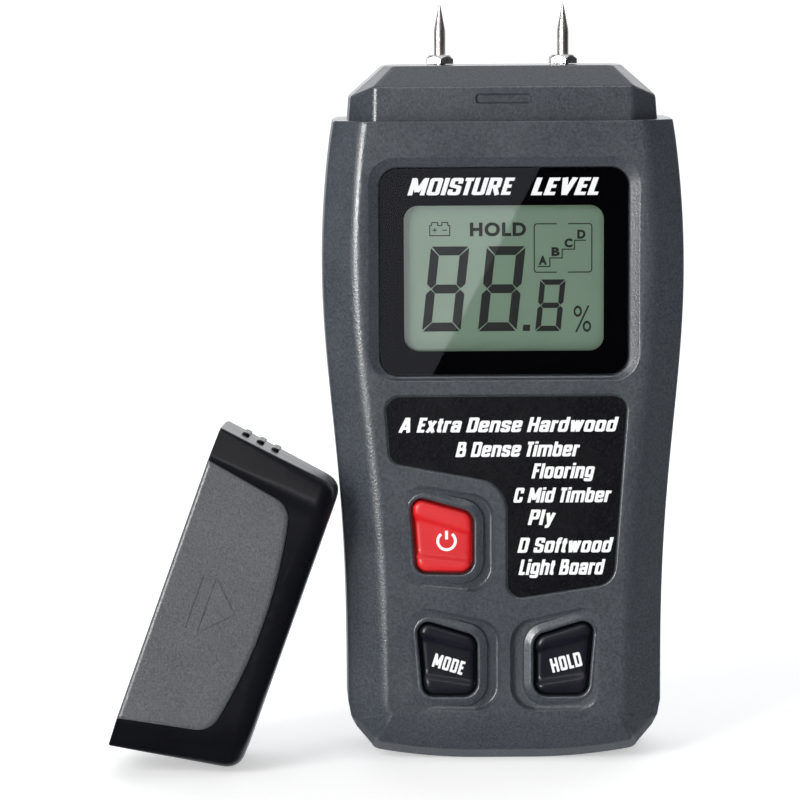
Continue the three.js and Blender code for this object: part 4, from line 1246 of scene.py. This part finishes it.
def cap_panel(name, face):
    edge = ((0, PANEL_DEPTH), (0, 0.62), (-0.07, 0.38), (-0.25, 0.18), (-0.52, 0.05), (-0.85, 0))
    panel = on_cap_face("panel", edge, face)
    cut(panel, *arrow_marks(face))
    panel.data.transform(CAP_FRAME)
    return finish(panel, "cap", LOOKS["cap_grey"], [name])


def arrow_marks(face):
    """A plain direction arrow, a triangle and a bar, cut a little way into the panel."""
    triangle = [(-5.3, 8.6, 0.1), (5.3, 8.6, 0.1), (0.0, 14.0, 0.1)]
    groove, depth = 0.24, 0.13
    rings = []
    for grow, level in ((groove / 2, -0.5), (-groove / 2, -0.5), (-groove / 2, depth), (groove / 2, depth)):
        outline = rounded(grown(triangle, grow), 3)
        rings.append([(p.x, face * (cap_size("depth", p.y) - level), p.y) for p in outline])
    bar = rounded(rectangle(-5.3, 6.3 - groove / 2, 5.3, 6.3 + groove / 2, 0.05), 3)
    return [skin("triangle", rings, closed=True),
            on_cap_face("bar", ((0, -0.5), (0, depth)), face, lambda grow: bar)]


# ---- what keeps its CAD shape ----
CAD_LOOKS = {
    "rubber": ["lens_tape", "zebra_strip_lower", "zebra_strip_upper"],
    "display": ["display_glass"],
    "reflector": ["display_reflector"],
    "soft_black": ["display_frame", "controller_chip", "buzzer", "battery_clip", "power_switch_plunger",
                   "mode_switch_plunger", "hold_switch_plunger"],
    "board": ["circuit_board"],
    "bright_steel": ["filter_capacitor", "power_switch", "mode_switch", "hold_switch",
                     "battery_terminal_positive", "battery_terminal_negative"],
    "zinc": ["board_screw_1", "board_screw_2", "board_screw_3"],
    "brass": ["threaded_insert_left", "threaded_insert_right"],
    "black_wire": ["electrode_lead_left", "electrode_lead_right", "battery_lead_black"],
    "red_wire": ["battery_lead_red"],
    "battery_wrap": ["battery_9v"],
    "foam": ["battery_foam"],
}


def dress_cad_nodes():
    for look, names in CAD_LOOKS.items():
        for name in names:
            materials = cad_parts[name].data.materials
            materials.clear()
            materials.append(LOOKS[look])


# ---- studio ----
CAMERA_PLACE = (-19.05, -612.16, 141.18)
CAMERA_LENS = 148.5
CAMERA_PITCH = 83
CAMERA_ROLL = -0.33
LAMPS = [  # name, place and aim in metres, size, watts
    ("key", (-0.66, -0.74, 0.42), (0, 0, 0.08), (0.5, 0.9), 9),
    ("edge_strip", (-0.56, -0.83, 0.16), (0, 0, 0.07), (0.12, 0.34), 9),
    ("upper_strip", (0.1, -0.62, 0.80), (0, 0, 0.05), (0.9, 0.16), 2.6),
    ("top", (0.0, 0.05, 1.0), (0, 0, 0), (1.2, 1.0), 3.1),
    ("fill", (0.15, -0.95, 0.25), (0, 0, 0.07), (0.5, 0.6), 1.9),
    ("rim", (0.1, 0.9, 0.45), (0, 0, 0.07), (1.4, 0.6), 3.2),
]
GLARE_FOOT, GLARE_TOP = (-41.1, -60), (47.6, 110)  # ends of the glare's slanted boundary, (x, z)
CARD_LEFT, CARD_RIGHT, CARD_Y = -90, 150, -600


def camera():
    data = bpy.data.cameras.new("camera")
    data.sensor_width = 36
    data.lens = CAMERA_LENS
    data.clip_end = 20
    made = link("camera", data)
    pitch = Matrix.Rotation(math.radians(CAMERA_PITCH), 4, "X")
    roll = Matrix.Rotation(math.radians(CAMERA_ROLL), 4, "Z")
    made.matrix_world = Matrix.Translation(Vector(CAMERA_PLACE) * MM) @ pitch @ roll
    bpy.context.scene.camera = made


def softbox(name, place, aim, size, watts):
    data = bpy.data.lights.new(name, "AREA")
    data.shape = "RECTANGLE"
    data.size, data.size_y = size
    data.energy = watts
    made = link(name, data)
    made.location = place
    made.rotation_euler = (Vector(aim) - Vector(place)).to_track_quat("-Z", "Y").to_euler()
    return made


def slanted(outer_x):
    """Corners of a card between an upright edge and the glare's slanted boundary."""
    foot = [(outer_x, GLARE_FOOT[1]), GLARE_FOOT]
    top = [GLARE_TOP, (outer_x, GLARE_TOP[1])]
    if outer_x > GLARE_TOP[0]:
        foot, top = foot[::-1], top[::-1]
    return [(x, CARD_Y, z) for x, z in foot + top]


def only_in_gloss(light):
    """Keeps a light out of everything but reflections."""
    light.visible_diffuse = False
    light.visible_transmission = False
    light.visible_volume_scatter = False


def card(name, corners, strength):
    """A flat card that only reflections see, for the slanted glare on the window."""
    made = skin(name, [corners, [(x, y - 1, z) for x, y, z in corners]])
    paint = Surface(name)
    paint.set(base_color=rgb(0, 0, 0), specular_ior_level=0.0, emission_strength=strength)
    paint.shader.inputs["Emission Color"].default_value = rgb(0.94, 0.96, 1.0)
    made.data.materials.append(paint.material)
    made.visible_camera = False
    made.visible_diffuse = False
    made.visible_shadow = False
    made.visible_transmission = False


def studio():
    scene = bpy.context.scene
    scene.view_settings.view_transform = "Standard"
    floor = spun("floor", ((0.1, -0.3), (620, -0.3), (620, 0), (0.1, 0)), sides=64)
    paint = Surface("floor_paper")
    paint.set(base_color=paint.shade(rgb(0.93, 0.93, 0.93), paint.spread(paint.noise(60), 0.995, 1.005)))
    paint.set(roughness=0.9, specular_ior_level=0.1, emission_strength=0.44)
    paint.shader.inputs["Emission Color"].default_value = rgb(1, 1, 1)
    floor.data.materials.append(paint.material)
    floor.visible_glossy = False  # keeps the floor out of the mirroring on the front faces

    world = bpy.data.worlds.new("studio")
    world.use_nodes = True
    scene.world = world
    nodes, links = world.node_tree.nodes, world.node_tree.links
    seen = nodes.new("ShaderNodeBackground")
    seen.inputs["Color"].default_value = rgb(1, 1, 1)
    seen.inputs["Strength"].default_value = 1.1
    lit = nodes["Background"]
    lit.inputs["Color"].default_value = rgb(0.92, 0.95, 1.0)
    direction = nodes.new("ShaderNodeTexCoord")
    split = nodes.new("ShaderNodeSeparateXYZ")
    spread = nodes.new("ShaderNodeMapRange")
    for key, value in {"From Min": 0.15, "From Max": 0.7, "To Min": 0.03, "To Max": 0.75}.items():
        spread.inputs[key].default_value = value
    links.new(direction.outputs["Generated"], split.inputs[0])
    links.new(split.outputs["Y"], spread.inputs["Value"])
    links.new(spread.outputs["Result"], lit.inputs["Strength"])
    path = nodes.new("ShaderNodeLightPath")
    choose = nodes.new("ShaderNodeMixShader")
    links.new(path.outputs["Is Camera Ray"], choose.inputs[0])
    links.new(lit.outputs[0], choose.inputs[1])
    links.new(seen.outputs[0], choose.inputs[2])
    links.new(choose.outputs[0], nodes["World Output"].inputs["Surface"])

    lamps = {name: softbox(name, *settings) for name, *settings in LAMPS}
    only_in_gloss(lamps["edge_strip"])
    only_in_gloss(lamps["upper_strip"])
    lamps["fill"].visible_glossy = False
    for name, outer_x, strength in (("glare_card", CARD_LEFT, 0.58), ("dark_card", CARD_RIGHT, 0.0)):
        card(name, slanted(outer_x), strength)


camera()
studio()
dress_cad_nodes()
front_shell()
rear_shell()
battery_door()
window()
display_marks()
label()
keys()
electrodes()
housing_screws()
cap_shell()
cap_panel("cap_front_panel", -1)
cap_panel("cap_rear_panel", 1)
